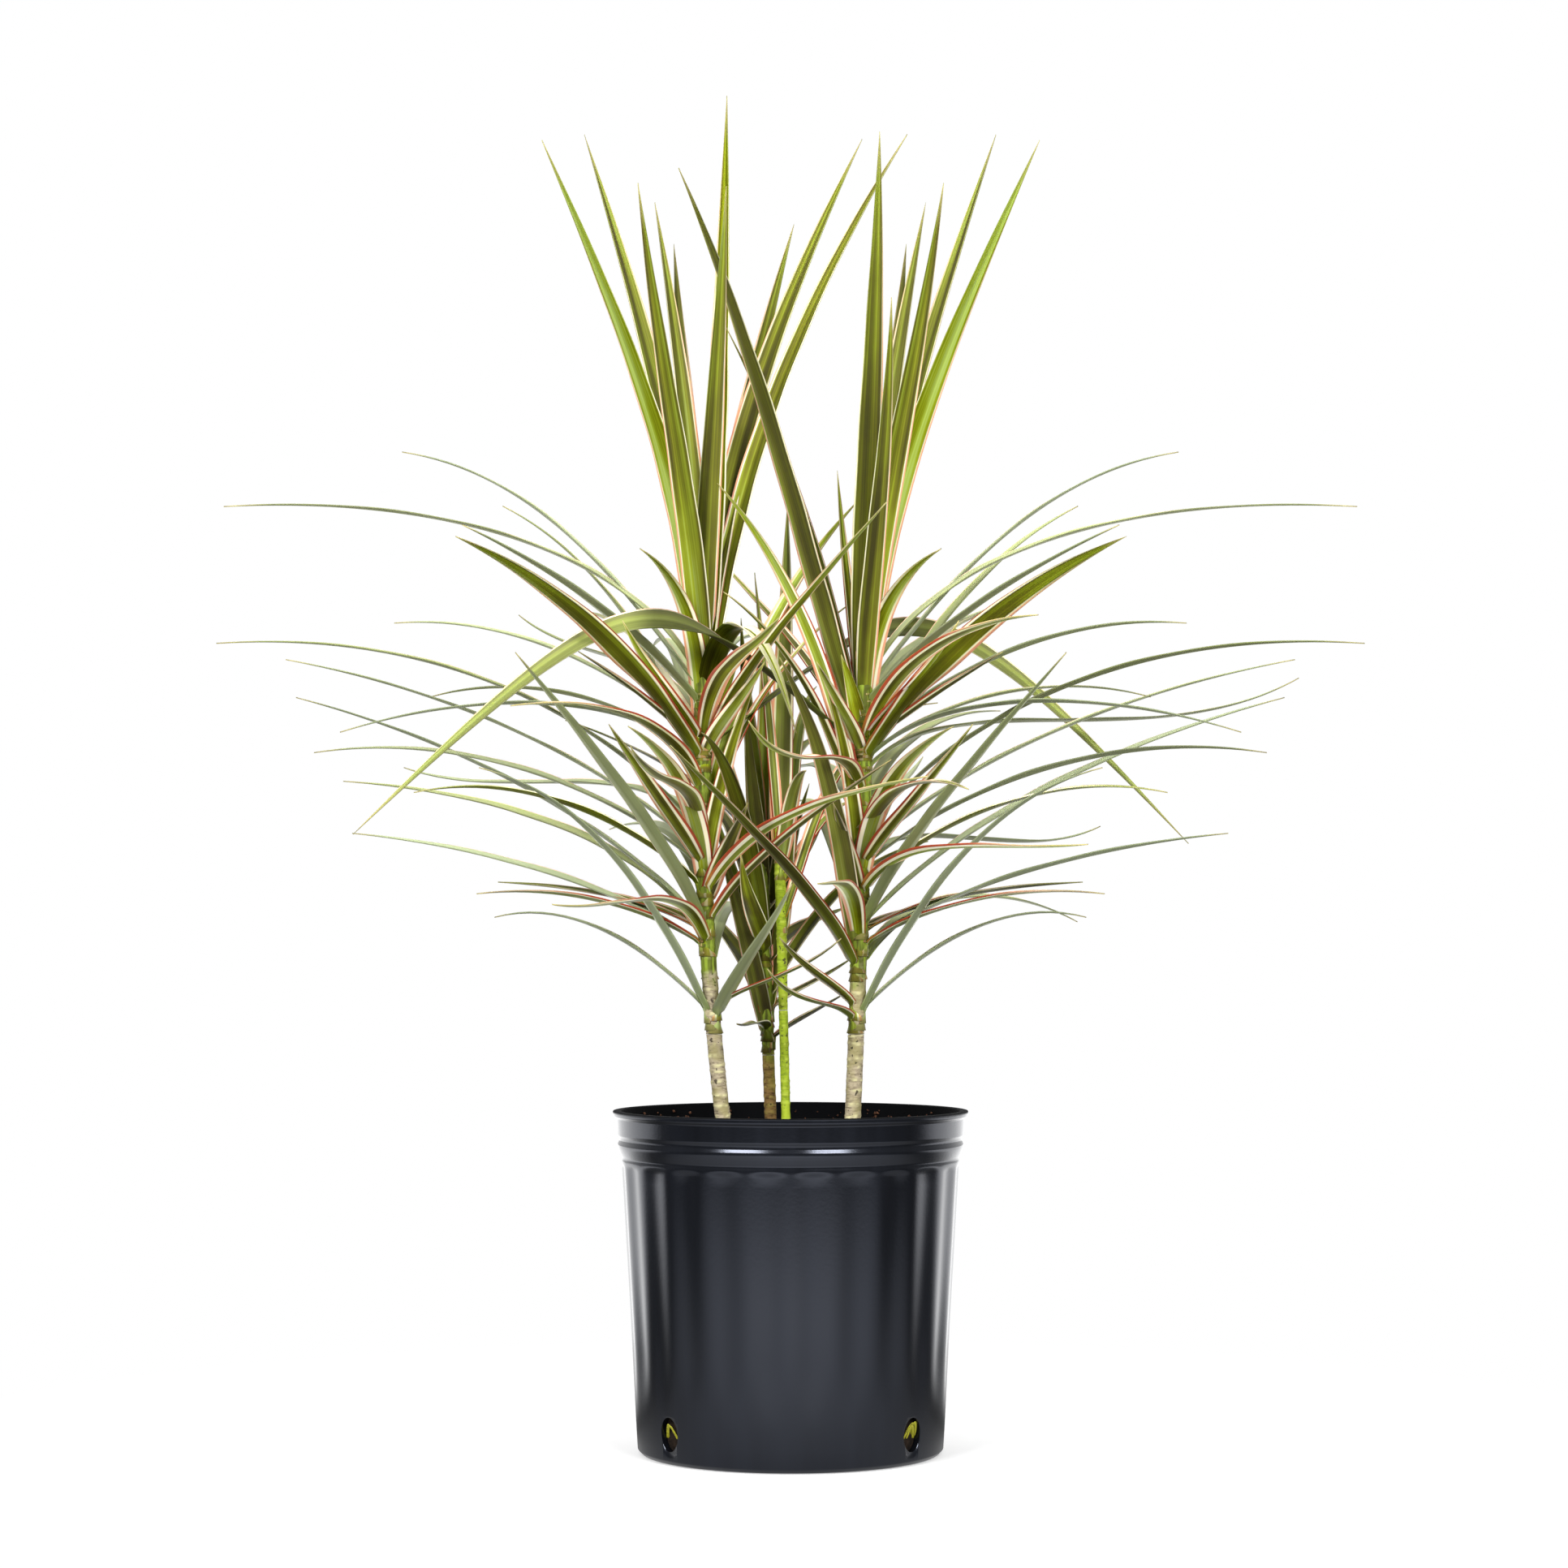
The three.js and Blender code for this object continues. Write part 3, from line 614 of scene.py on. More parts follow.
def makeLeafMaterial():
    # Living leaf: a waxy skin over soft tissue that light shines into, streaked along the blade
    # in yellow green and olive, with a cream line and a red margin on either side
    look = leafLook
    material, tree = newMaterial("leafSkin")
    uv = addNode(tree, "UVMap", uv_map="blade")
    across, along, _ = addNode(tree, "SeparateXYZ", [uv]).outputs
    shade = addNode(tree, "Attribute", attribute_name="shade")
    cream, red, light = addNode(tree, "SeparateColor", [shade.outputs["Color"]]).outputs
    tint = shade.outputs["Alpha"]
    uvPlace = addNode(tree, "CombineXYZ", [across, along, tint])

    # Patterns drawn out along the blade, which differ from blade to blade by its tint
    patterns = {}
    mixed = look["shares"]["base"]
    for name, detail in (("veins", 3.0), ("streaks", 2.0), ("patches", 3.0)):
        place = addNode(tree, "VectorMath", [uvPlace, look[name]], operation="MULTIPLY")
        patterns[name] = addNode(tree, "TexNoise", {"Vector": place, "Scale": 1.0,
                                                    "Detail": detail})
        mixed = addNode(tree, "Math", [patterns[name], look["shares"][name], mixed],
                        operation="MULTIPLY_ADD")
    green = addNode(tree, "ValToRGB", [mixed], look["greens"])

    # Grey green on the outer arcs, brown on the old blades
    tinting = addNode(tree, "Mix", {0: tint, 6: hexColor(look["grey"]),
                                    7: hexColor(look["brown"])}, data_type="RGBA")
    strength = addNode(tree, "Math", [tint, 2.0, -1.0], operation="MULTIPLY_ADD")
    strength = addNode(tree, "Math", [strength], operation="ABSOLUTE")
    color = addNode(tree, "Mix", {0: strength, 6: green, 7: tinting}, data_type="RGBA")

    # Painted light and shade of the fold: the upper half of a blade is painted brighter and the
    # lower half darker
    paintedFoldShading = addNode(tree, "MapRange", [across, *look["paintedFoldShading"]])
    paintedFoldShading = addNode(tree, "CombineXYZ", [paintedFoldShading, paintedFoldShading, paintedFoldShading])
    color = addNode(tree, "Mix", {0: 1.0, 6: color, 7: paintedFoldShading}, data_type="RGBA",
                    blend_type="MULTIPLY")

    # The bands are measured from where the red starts, nearer the margin towards the tip
    edge = addNode(tree, "Math", [across, 2.0, -1.0], operation="MULTIPLY_ADD")
    edge = addNode(tree, "Math", [edge], operation="ABSOLUTE")
    slope, start = look["narrowing"]
    narrowing = addNode(tree, "Math", [along, slope, start], operation="MULTIPLY_ADD")
    redWidth = addNode(tree, "Math", [red, narrowing], operation="MULTIPLY")
    for added, share in ((across, "lean"), (patterns["streaks"], "wavy"),
                         (redWidth, "redWidth")):
        edge = addNode(tree, "Math", [added, look[share], edge], operation="MULTIPLY_ADD")
    withCream = addNode(tree, "Math", [cream, look["creamWidth"], edge], operation="MULTIPLY_ADD")

    # The red margin, painted lit to salmon on the upper margin and painted in shade to red brown
    # on the lower one
    rim = addNode(tree, "Mix", {0: across, 6: hexColor(look["paintedLitSalmon"]),
                                7: hexColor(look["red"])}, data_type="RGBA")

    # Both bands fade out before the tip
    kept = addNode(tree, "MapRange", [along, *look["bandsLeft"]])
    for measured, setsIn, band in ((withCream, "creamFrom", hexColor(look["cream"])),
                                   (edge, "redFrom", rim)):
        share = addNode(tree, "MapRange", [measured, *look[setsIn]])
        share = addNode(tree, "Math", [share, kept], operation="MULTIPLY")
        color = addNode(tree, "Mix", {0: share, 6: color, 7: band}, data_type="RGBA")

    # Lime towards the base, a little red where it clasps the stem, a dry tip
    for code, limits in look["zones"]:
        share = addNode(tree, "MapRange", [along, *limits])
        color = addNode(tree, "Mix", {0: share, 6: color, 7: hexColor(code)}, data_type="RGBA")
    # Each blade's brightness, which holds painted shade for the dark tone and for arching blades
    # up to their top
    bright = addNode(tree, "CombineXYZ", [light, light, light])
    color = addNode(tree, "Mix", {0: 1.0, 6: color, 7: bright}, data_type="RGBA",
                    blend_type="MULTIPLY")

    # Green blades let more light through than grey ones
    glow = addNode(tree, "MapRange", [tint, *look["glow"]])
    bump = addNode(tree, "Bump", {"Height": patterns["veins"], "Strength": 0.22,
                                  "Distance": 0.0004})
    shader = addNode(tree, "BsdfPrincipled", {
        "Base Color": color, "Normal": bump, "Roughness": 0.4, "IOR": 1.42,
        "Specular IOR Level": 0.12, "Specular Tint": hexColor("f0e69c"),
        "Subsurface Weight": glow, "Subsurface Scale": 0.003,
        "Subsurface Radius": (0.8, 1.0, 0.25)})
    addNode(tree, "OutputMaterial", {"Surface": shader})
    return material


# Stems

bark = {
    "around": 28,          # faces round the stem
    "stretch": 1.2,        # length of one face along the stem
    "scar": 7.5,           # mean distance between two leaf scars
    "scarSpread": (0.5, 1.6),  # least and most of that, as shares
    "scarWidth": 0.9,
    "ridge": 0.45,         # how far a scar's ring stands out
    "tilt": 0.6,           # how far a ring rises and falls as it goes round
    "wander": 0.5,         # and how far it strays from that
    "worn": (-0.35, 0.3),  # noise values between which a ring is whole again
    "inset": 0.25,         # how far the bark lies inside the stem's radius
    "lumps": 0.3,
    "leafySwell": 0.9,     # how much thicker the leafy part gets up to its top
    "belowTop": 6,         # where it ends
}
barkLook = {
    # Steps a metre: lines 6 mm long and 1.6 mm high, patches of 14 mm, specks of 3 mm, and
    # streaks on the sheaths 2.4 mm wide and 25 mm long
    "lines": (170, 170, 620), "patches": 70.0, "specks": 330.0, "streaks": (420, 420, 40),
    "mottling": (0.36, 0.56),   # noise values of the dark and of the pale bark
    "patchFrom": (0.46, 0.62, 0.0, 0.75), "speckFrom": (0.66, 0.72, 0.0, 0.85),
    "speck": "2c221a", "sheath": [(0.4, "4c5212"), (0.6, "84982c")],
    "ragged": 0.05,             # how far up and down the sheaths' lower edge strays, in metres
    "sheathEdge": (0.02, 0.035),
}
# Pale and dark bark, patches, scars, and the height in metres from which leaf sheaths cover it
skins = {
    "greyCaneBark": ("b3a68a", "776a55", "98905e", "dcd6a2", 0.338),
    "brownCaneBark": ("8a6c3c", "4a3418", "8a8030", "a8964c", 0.285),
    "greenStemSkin": ("93a81e", "6f8412", "a4b62c", "b2c044", 0.45),
    "rootSkin": ("a8a422", "6c6a14", "8c8a1c", "c8c848", 0.45),
}


def addTube(bm, count, around, pointAt, layer):
    # A grid wrapped round a line, closed at both ends; the layer keeps a number for its colour
    grid = bmesh.ops.create_grid(bm, x_segments=around, y_segments=count, size=0.5, calc_uvs=True)
    for vert in grid["verts"]:
        place, number = pointAt(vert.co.x * 2 * math.pi, vert.co.y + 0.5)
        vert.co = place * mm
        vert[layer] = number
    bmesh.ops.remove_doubles(bm, verts=grid["verts"], dist=1e-6)
    rims = [edge for edge in bm.edges if edge.is_boundary]
    bmesh.ops.holes_fill(bm, edges=rims)


def scarRings(low, high, draws):
    places = [low]
    while places[-1] < high:
        places.append(places[-1] + bark["scar"] * draws.between(*bark["scarSpread"]))
    return places


def makeStemPiece(name, stem, low, high, swell, material, replaced):
    bm = bmesh.new()
    bm.loops.layers.uv.new("stem")
    scarLayer = bm.verts.layers.float.new("scar")
    rings = scarRings(low, high, Draws(int(stem["radius"] * 1000)))

    def pointAt(angle, share):
        # Each ring rises and falls a little as it goes round, and wears off here and there. A
        # pattern is about as long as the number that divides z
        z = mix(low, high, share)
        around = Vector((math.cos(angle), math.sin(angle), 0))
        tilt = bark["tilt"] * math.sin(angle + z / 3)
        tilt += bark["wander"] * noise.noise(around + Vector((0, 0, z / 9)))
        nearest = min(abs(z + tilt - ring) for ring in rings)
        here = noise.noise(around * 1.6 + Vector((stem["x"], 0, z / 5)))
        scar = math.exp(-(nearest / bark["scarWidth"]) ** 2) * smoothStep(*bark["worn"], here)
        lump = noise.noise(around * 2 + Vector((0, 0, z / 6 + stem["x"])))
        radius = stem["radius"] - bark["inset"] + swell * share + bark["ridge"] * scar
        radius += bark["lumps"] * lump
        return stemPoint(stem, z) + around * radius, scar

    addTube(bm, round((high - low) / bark["stretch"]), bark["around"], pointAt, scarLayer)
    bmesh.ops.recalc_face_normals(bm, faces=bm.faces)
    finishPiece(name, bm, material, replaced)


def makeBarkMaterial(name):
    # Cane bark: dry corky skin, mottled, with paler ring scars where leaves fell and dark specks.
    # Further up it is covered by streaked green leaf sheaths
    look = barkLook
    pale, dark, patch, scarColor, sheathFrom = skins[name]
    material, tree = newMaterial(name)
    place = addNode(tree, "TexCoord").outputs["Object"]
    flat = addNode(tree, "Mapping", {"Vector": place, "Scale": look["lines"]})
    lines = addNode(tree, "TexNoise", {"Vector": flat, "Scale": 1.0, "Detail": 5.0,
                                       "Roughness": 0.65})
    patches = addNode(tree, "TexNoise", {"Vector": place, "Scale": look["patches"],
                                         "Detail": 3.0})
    specks = addNode(tree, "TexNoise", {"Vector": place, "Scale": look["specks"],
                                        "Detail": 1.0})
    low, high = look["mottling"]
    color = addNode(tree, "ValToRGB", [lines], [(low, dark), (high, pale)])
    patchShare = addNode(tree, "MapRange", [patches, *look["patchFrom"]])
    color = addNode(tree, "Mix", {0: patchShare, 6: color, 7: hexColor(patch)}, data_type="RGBA")
    scar = addNode(tree, "Attribute", attribute_name="scar")
    color = addNode(tree, "Mix", {0: scar.outputs["Fac"], 6: color, 7: hexColor(scarColor)},
                    data_type="RGBA")
    speckShare = addNode(tree, "MapRange", [specks, *look["speckFrom"]])
    color = addNode(tree, "Mix", {0: speckShare, 6: color, 7: hexColor(look["speck"])},
                    data_type="RGBA")
    streaked = addNode(tree, "Mapping", {"Vector": place, "Scale": look["streaks"]})
    streaks = addNode(tree, "TexNoise", {"Vector": streaked, "Scale": 1.0, "Detail": 3.0})
    sheath = addNode(tree, "ValToRGB", [streaks], look["sheath"])
    parts = addNode(tree, "SeparateXYZ", [place])
    height = addNode(tree, "Math", [patches, look["ragged"], parts.outputs["Z"]],
                     operation="MULTIPLY_ADD")
    low, high = look["sheathEdge"]
    sheathShare = addNode(tree, "MapRange", [height, sheathFrom + low, sheathFrom + high])
    color = addNode(tree, "Mix", {0: sheathShare, 6: color, 7: sheath}, data_type="RGBA")
    bump = addNode(tree, "Bump", {"Height": lines, "Strength": 0.6, "Distance": 0.0006})
    shader = addNode(tree, "BsdfPrincipled", {"Base Color": color, "Normal": bump,
                                              "Roughness": 0.75, "Specular IOR Level": 0.3})
    addNode(tree, "OutputMaterial", {"Surface": shader})
    return material


# Pot

pot = {
    "height": 243, "rim": 127, "rimHeight": 3.5, "base": 109, "baseBevel": 3,
    "wallTop": 208, "wallTopRadius": 121, "wall": 3, "floor": 3,
    "panels": 24, "panelTop": 207, "panelFoot": 26, "topFade": 5, "footFade": 50,
    "groove": 1.5, "stepsPerPanel": 16,
    "footRow": 15, "wallRows": [100, 125, 150, 180, 195], "innerRow": 100,
    "easing": 0.6,         # of the corners below and above the panels
    # The shoulder and the collar as radius and height, from the panels up
    "shoulder": [(120.85, 207), (120.75, 208), (120.6, 209)],
    "collar": [(120.6, 210.2), (121.4, 211.8), (122.5, 214.5), (123.4, 217.2), (123.5, 219.4),
               (122.4, 222), (122.5, 224.3), (123.9, 226), (123.95, 227.2), (124.35, 236.6),
               (124.4, 237.8)],
    "innerTop": 120.9, "innerStep": (116.9, 205),
    "hole": {"width": 18, "height": 24, "depth": 24, "steps": 40, "centre": 21.5,
             "fromFront": [-130, -50, 50, 130]},
}
potLook = {
    # Steps a metre: orange peel of 2.4 mm, and a flow 17 mm wide and 250 mm long
    "peel": 420.0, "flow": (60, 60, 4),
    # The blacker black is painted shade on the inner face and the lip
    "blacks": [(0.3, "050609"), (0.7, "0b0d12")], "paintedShadeBlack": "050505",
    "rough": (0.14, 0.25), "innerRough": 0.8,
    "gloss": (0.5, 0.08),       # outside, and on the inner face and lip
    "lip": (0.2415, 0.2428),    # heights in metres between which the inner face's painted shade spreads over the lip
}
# A loop's middle, feet and peak as shares of the hole, and its way through it from the base
roots = {
    "loops": 3, "radius": (0.9, 1.3), "middle": (-0.12, 0.12), "aside": 0.2,
    "spread": (0.2, 0.34), "peak": (0.2, 0.38), "foot": (-0.2, 0),
    "inside": 4.4, "outward": 3.6, "rows": 20, "around": 8, "seed": 311,
}


def bodyRadius(z):
    share = (z - pot["baseBevel"]) / (pot["wallTop"] - pot["baseBevel"])
    return mix(pot["base"], pot["wallTopRadius"], share)


def innerRadius(z):
    radius, height = pot["innerStep"]
    foot = pot["base"] - pot["wall"] - pot["groove"]
    if z < height:
        return mix(foot, radius, (z - pot["floor"]) / (height - pot["floor"]))
    return mix(radius, pot["innerTop"], (z - height) / (pot["height"] - height))


def panelShift(angle, z):
    # How far the fluted wall lies inside the plain cone: soft grooves between round panels
    across = (angle + math.pi / 2) / (2 * math.pi / pot["panels"])
    fade = smoothStep(pot["panelFoot"], pot["panelFoot"] + pot["footFade"], z)
    fade *= 1 - smoothStep(pot["panelTop"] - pot["topFade"], pot["panelTop"], z)
    return -fade * pot["groove"] * math.sin(math.pi * across) ** 2


def addTurned(bm, profile, steps, rounded=None):
    # A turned shape about the Z axis, with the corners that rounded picks eased first
    verts = [bm.verts.new((radius * mm, 0, z * mm)) for radius, z in profile]
    for pair in zip(verts, verts[1:]):
        bm.edges.new(pair)
    if rounded:
        corners = [vert for vert in verts if vert.co.x > 0 and rounded(vert.co.z / mm)]
        bmesh.ops.bevel(bm, geom=corners, offset=pot["easing"] * mm, segments=3, profile=0.5,
                        affect="VERTICES", material=-1)
    bmesh.ops.spin(bm, geom=bm.verts[:] + bm.edges[:], angle=2 * math.pi, axis=(0, 0, 1),
                   cent=(0, 0, 0), steps=steps, use_merge=True)
    bmesh.ops.remove_doubles(bm, verts=bm.verts, dist=1e-6)
    bmesh.ops.recalc_face_normals(bm, faces=bm.faces)


def makePot(material):
    foot, top = pot["panelFoot"], pot["panelTop"]
    fades = [foot + pot["footFade"] * i / 12 for i in range(13)]
    fades += [*pot["wallRows"], *(top - pot["topFade"] * i / 4 for i in (4, 3, 2, 1))]
    profile = [(0, 0), (pot["base"] - pot["baseBevel"], 0), (pot["base"], pot["baseBevel"])]
    profile += [(bodyRadius(z), z) for z in [pot["footRow"], *fades]]
    profile += pot["shoulder"] + pot["collar"]
    profile += [(pot["rim"], pot["height"] - pot["rimHeight"]), (pot["rim"], pot["height"])]
    profile += [(innerRadius(z), z) for z in (pot["height"], pot["innerStep"][1],
                                              pot["innerRow"], pot["floor"])]
    profile += [(0, pot["floor"])]
    bm = bmesh.new()
    addTurned(bm, profile, pot["panels"] * pot["stepsPerPanel"],
              lambda z: not foot - 1 < z < pot["wallTop"] + 1)
    for vert in bm.verts:
        radius, z = math.hypot(vert.co.x, vert.co.y) / mm, vert.co.z / mm
        if foot < z < top and radius > bodyRadius(z) - 1:
            angle = math.atan2(vert.co.y, vert.co.x)
            radius += panelShift(angle, z)
            vert.co.x, vert.co.y = radius * math.cos(angle) * mm, radius * math.sin(angle) * mm
    piece = finishPiece("pot_wall", bm, material, ["pot"])
    cutDrainHoles(piece)
    print("pot done")


def cutDrainHoles(piece):
    hole = pot["hole"]
    bm = bmesh.new()
    for angle in hole["fromFront"]:
        place = Matrix.Rotation(math.radians(angle), 4, "Z") @ Matrix.Translation(
            (0, -pot["base"] * mm, hole["centre"] * mm)) @ Matrix.Rotation(math.pi / 2, 4, "X")
        size = Matrix.Diagonal((hole["width"] / 2, hole["height"] / 2, hole["depth"] / 2, 1))
        bmesh.ops.create_cone(bm, cap_ends=True, segments=hole["steps"], radius1=mm, radius2=mm,
                              depth=2 * mm, matrix=place @ size)
    cutter = addMesh("drainCutter", bm)
    cut = piece.modifiers.new("drainHoles", "BOOLEAN")
    cut.object = cutter
    cut.solver = "EXACT"
    holed = piece.evaluated_get(bpy.context.evaluated_depsgraph_get())
    piece.modifiers.clear()
    old = piece.data
    piece.data = bpy.data.meshes.new_from_object(holed)
    piece.data.name = "pot_wall"
    bpy.data.meshes.remove(old)
    bpy.data.objects.remove(cutter)


def makePotMaterial():
    # Blow-moulded black polyethylene: satin, a little waxy and bluish, with a faint orange-peel
    # skin. The inner face and the lip carry painted shade: blacker, rougher and with little gloss
    material, tree = newMaterial("blackPolyethylene")
    coordinates = addNode(tree, "TexCoord").outputs
    place, normal = coordinates["Object"], coordinates["Normal"]
    look = potLook
    peel = addNode(tree, "TexNoise", {"Vector": place, "Scale": look["peel"], "Detail": 3.0})
    drawn = addNode(tree, "Mapping", {"Vector": place, "Scale": look["flow"]})
    flow = addNode(tree, "TexNoise", {"Vector": drawn, "Scale": 1.0, "Detail": 4.0})
    color = addNode(tree, "ValToRGB", [flow], look["blacks"])
    rough = addNode(tree, "MapRange", [flow, 0, 1, *look["rough"]])

    # Painted shade on the inner face, where the normal points back to the axis, and on the top of
    # the lip
    level = addNode(tree, "VectorMath", [place, (1.0, 1.0, 0.0)], operation="MULTIPLY")
    facing = addNode(tree, "VectorMath", [level, normal], operation="DOT_PRODUCT")
    inner = addNode(tree, "MapRange", [facing.outputs["Value"], -0.02, -0.05])
    parts = addNode(tree, "SeparateXYZ", [place])
    lip = addNode(tree, "MapRange", [parts.outputs["Z"], *look["lip"]])
    inner = addNode(tree, "Math", [inner, lip], operation="MAXIMUM")
    gloss = addNode(tree, "MapRange", [inner, 0, 1, *look["gloss"]])
    rough = addNode(tree, "Mix", {0: inner, 2: rough, 3: look["innerRough"]})
    color = addNode(tree, "Mix", {0: inner, 6: color, 7: hexColor(look["paintedShadeBlack"])},
                    data_type="RGBA")
    bump = addNode(tree, "Bump", {"Height": peel, "Strength": 0.12, "Distance": 0.0003})
    shader = addNode(tree, "BsdfPrincipled", {
        "Base Color": color, "Roughness": rough, "Normal": bump, "IOR": 1.5,
        "Specular IOR Level": gloss, "Specular Tint": hexColor("e4ebff")})
    addNode(tree, "OutputMaterial", {"Surface": shader})
    return material


def makeRoots(material):
    # Fine roots that have grown out of the soil and loop through each drain hole
    hole = pot["hole"]
    bm = bmesh.new()
    bm.loops.layers.uv.new("root")
    layer = bm.verts.layers.float.new("scar")
    draws = Draws(roots["seed"])
    for fromFront in hole["fromFront"]:
        for _ in range(roots["loops"]):
            middle = draws.between(*roots["middle"]) + math.copysign(roots["aside"], fromFront)
            spread = draws.between(*roots["spread"])
            peak = hole["centre"] + hole["height"] * draws.between(*roots["peak"])
            foot = hole["centre"] + hole["height"] * draws.between(*roots["foot"])
            radius = draws.between(*roots["radius"])

            def pointAt(turn, share):
                lean = 2 * share - 1
                rise = 1 - abs(lean) ** 1.6
                angle = math.radians(fromFront - 90)
                out = Vector((math.cos(angle), math.sin(angle), 0))
                side = Vector((-out.y, out.x, 0))
                reach = pot["base"] - roots["inside"] + roots["outward"] * rise
                place = out * reach + side * (hole["width"] * (middle + spread * lean))
                place.z = mix(foot, peak, rise)
                around = side * math.cos(turn) + (out + Vector((0, 0, 1))) * math.sin(turn) * 0.7
                # The scar number here makes each loop paler towards its peak
                return place + around * radius, 0.4 * rise

            addTube(bm, roots["rows"], roots["around"], pointAt, layer)
    bmesh.ops.recalc_face_normals(bm, faces=bm.faces)
    finishPiece("drain_roots", bm, material)


# Soil

soil = {
    "top": 217, "crown": 1, "heave": 1.8, "lumps": 1.1, "rings": 60, "around": 180,
    # The loose bits on it: how many, their sizes, how high a bit is for its length, the seed
    "bark_bits": (420, (2.0, 7.5), 0.35, 411),
    "perlite_bits": (130, (0.9, 2.2), 0.8, 733),
    # How far out they lie, how high for their size, how they tilt, their width and their knobs
    "reach": 111, "raised": 0.12, "tilt": (-0.4, 0.4), "narrow": (0.4, 0.9),
    "knobs": (0.75, 1.25),
    # Crumbs on the inner wall, in degrees round it and heights on it
    "crumbs": {"count": 110, "headings": (25, 155), "heights": (221, 238), "sizes": (0.8, 2.6),
               "knobs": (-0.15, 0.15), "sunk": 0.35, "seed": 871},
}
# Dark and pale of the mottling, its grains a metre (2 to 4 mm each), and the roughness
grounds = {
    "pottingMix": ("100b08", "30241a", 260.0, 0.95),
    "barkBits": ("2b1c12", "6a4a30", 300.0, 0.85),
    "soilCrumbs": ("24150f", "64422e", 400.0, 0.8),
    "perliteBits": ("b9b4a8", "f0ece2", 500.0, 0.9),
}


def soilHeight(x, y):
    # Broad heaves, with two sizes of lumps on them
    heave = math.sin(x / 17 + 1) * math.cos(y / 13) + math.sin((x + y) / 9) * 0.5
    lumps = noise.noise(Vector((x / 7, y / 7, 3)))
    lumps += 0.5 * noise.noise(Vector((x / 2.5, y / 2.5, 8)))
    return soil["top"] + soil["crown"] + soil["heave"] * heave + soil["lumps"] * lumps


def makeSoil(material):
    wallHeights = [mix(pot["floor"] + gap, pot["innerStep"][1], i / 20) for i in range(21)]
    profile = [(0, pot["floor"] + gap)]
    profile += [(innerRadius(z) - gap, z) for z in [*wallHeights, soil["top"]]]
    edge = innerRadius(soil["top"]) - gap
    rings, crown = soil["rings"], soil["top"] + soil["crown"]
    profile += [(edge * (1 - i / rings), crown) for i in range(1, rings + 1)]
    bm = bmesh.new()
    addTurned(bm, profile, soil["around"])
    for vert in bm.verts:
        if vert.co.z > (soil["top"] + soil["crown"] / 2) * mm:
            vert.co.z = soilHeight(vert.co.x / mm, vert.co.y / mm) * mm
    finishPiece("soil_mix", bm, material, ["soil"])


def scatterBits(name, material):
    count, sizes, flatness, seed = soil[name]
    bm = bmesh.new()
    draws = Draws(seed)
    for _ in range(count):
        angle = draws.between(0, 2 * math.pi)
        out = soil["reach"] * math.sqrt(draws.between())
        x, y = out * math.cos(angle), out * math.sin(angle)
        size = draws.between(*sizes)
        height = soilHeight(x, y) + size * soil["raised"]
        place = Matrix.Translation(Vector((x, y, height)) * mm)
        turn = Matrix.Rotation(draws.between(0, 6.3), 4, "Z")
        turn = turn @ Matrix.Rotation(draws.between(*soil["tilt"]), 4, "X")
        shape = Matrix.Diagonal((size * mm, size * draws.between(*soil["narrow"]) * mm,
                                 size * flatness * mm, 1))
        made = bmesh.ops.create_icosphere(bm, subdivisions=1, radius=0.5)
        for vert in made["verts"]:
            vert.co *= draws.between(*soil["knobs"])
        bmesh.ops.transform(bm, matrix=place @ turn @ shape, verts=made["verts"])
    finishPiece(name, bm, material)


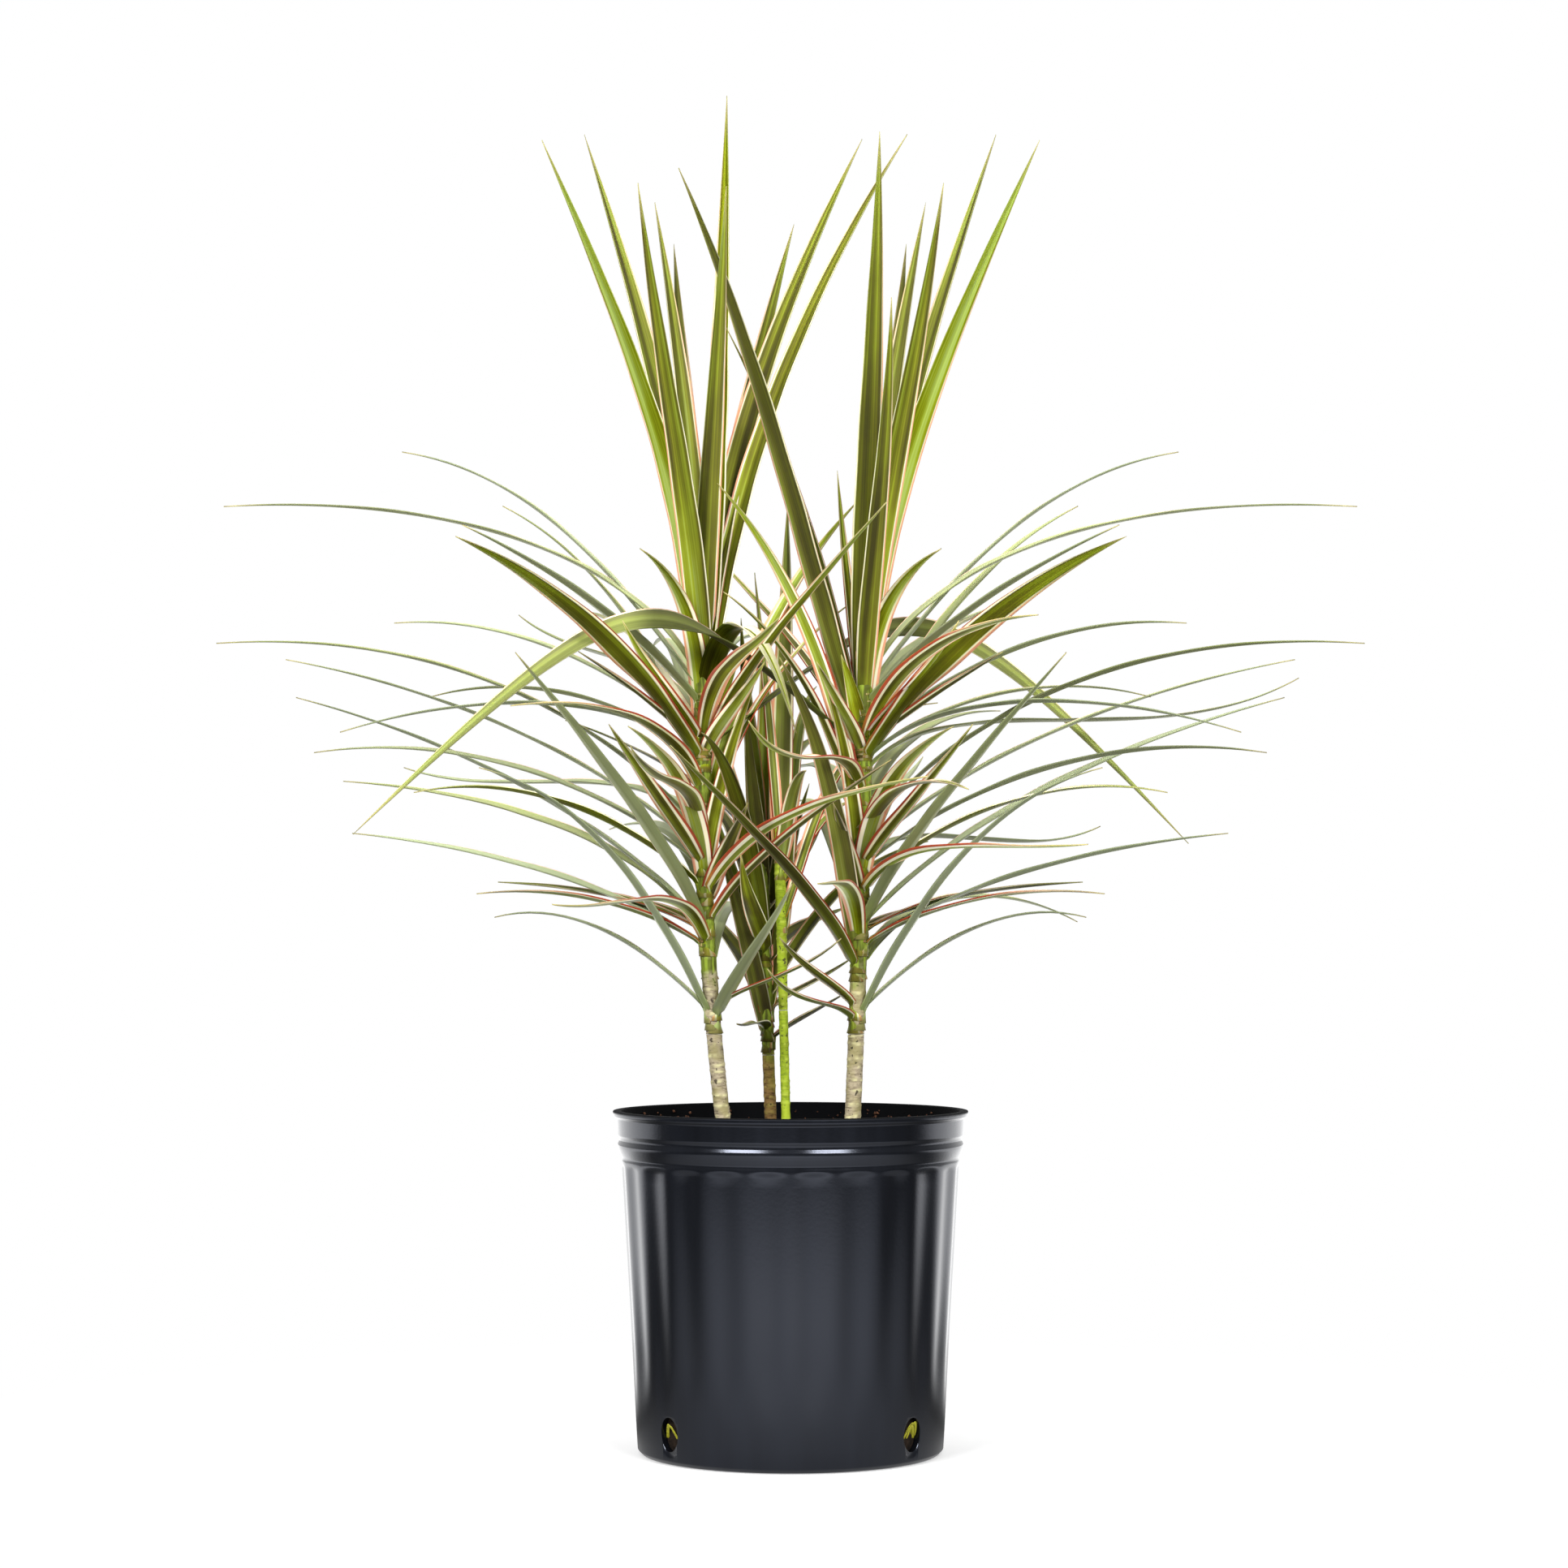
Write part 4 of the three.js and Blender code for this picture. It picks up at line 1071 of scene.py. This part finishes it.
def clingCrumbs(material):
    # Crumbs of soil left on the back of the inner wall, above the soil
    crumbs = soil["crumbs"]
    bm = bmesh.new()
    draws = Draws(crumbs["seed"])
    for _ in range(crumbs["count"]):
        angle = math.radians(draws.between(*crumbs["headings"]))
        z = draws.between(*crumbs["heights"])
        size = draws.between(*crumbs["sizes"])
        out = innerRadius(z) - crumbs["sunk"] * size
        place = Matrix.Translation(
            Vector((out * math.cos(angle), out * math.sin(angle), z)) * mm)
        made = bmesh.ops.create_icosphere(bm, subdivisions=1, radius=size / 2 * mm, matrix=place)
        for vert in made["verts"]:
            vert.co += Vector([draws.between(*crumbs["knobs"]) * size * mm for _ in range(3)])
    finishPiece("wall_crumbs", bm, material)


def makeGroundMaterial(name):
    # Composted bark and peat, or the loose bits on it: crumbly, matt and mottled
    dark, pale, grain, rough = grounds[name]
    material, tree = newMaterial(name)
    place = addNode(tree, "TexCoord").outputs["Object"]
    lumps = addNode(tree, "TexNoise", {"Vector": place, "Scale": grain, "Detail": 6.0,
                                       "Roughness": 0.7})
    color = addNode(tree, "ValToRGB", [lumps], [(0.35, dark), (0.68, pale)])
    bump = addNode(tree, "Bump", {"Height": lumps, "Strength": 0.8, "Distance": 0.001})
    shader = addNode(tree, "BsdfPrincipled", {"Base Color": color, "Normal": bump,
                                              "Roughness": rough, "Specular IOR Level": 0.2})
    addNode(tree, "OutputMaterial", {"Surface": shader})
    return material


makeStudio()
leafSkin = makeLeafMaterial()
allLeaves = listLeaves()
for stemName, stemLeaves in allLeaves.items():
    makeFoliage(stemName, stemLeaves, leafSkin)
    print("foliage", stemName, len(stemLeaves), "leaves")

greyBark = makeBarkMaterial("greyCaneBark")
brownBark = makeBarkMaterial("brownCaneBark")
greenSkin = makeBarkMaterial("greenStemSkin")
for stemName, node, skin, slot in (("left", "cane_left", greyBark, "bark"),
                                   ("right", "cane_right", greyBark, "bark"),
                                   ("middle", "cane_middle", brownBark, "brown_bark"),
                                   ("shoot", "shoot_green", greenSkin, "green_stem")):
    stem = stems[stemName]
    foot, top = stem["leafFoot"], stem["top"] - bark["belowTop"]
    makeStemPiece(f"{node}_bark", stem, stemFoot, foot, 0, skin, [node])
    makeStemPiece(f"{node}_leafy", stem, foot + gap, top, bark["leafySwell"], skin, [])
print("stems done")

makePot(makePotMaterial())
makeRoots(makeBarkMaterial("rootSkin"))
makeSoil(makeGroundMaterial("pottingMix"))
scatterBits("bark_bits", makeGroundMaterial("barkBits"))
clingCrumbs(makeGroundMaterial("soilCrumbs"))
scatterBits("perlite_bits", makeGroundMaterial("perliteBits"))
print("soil done")
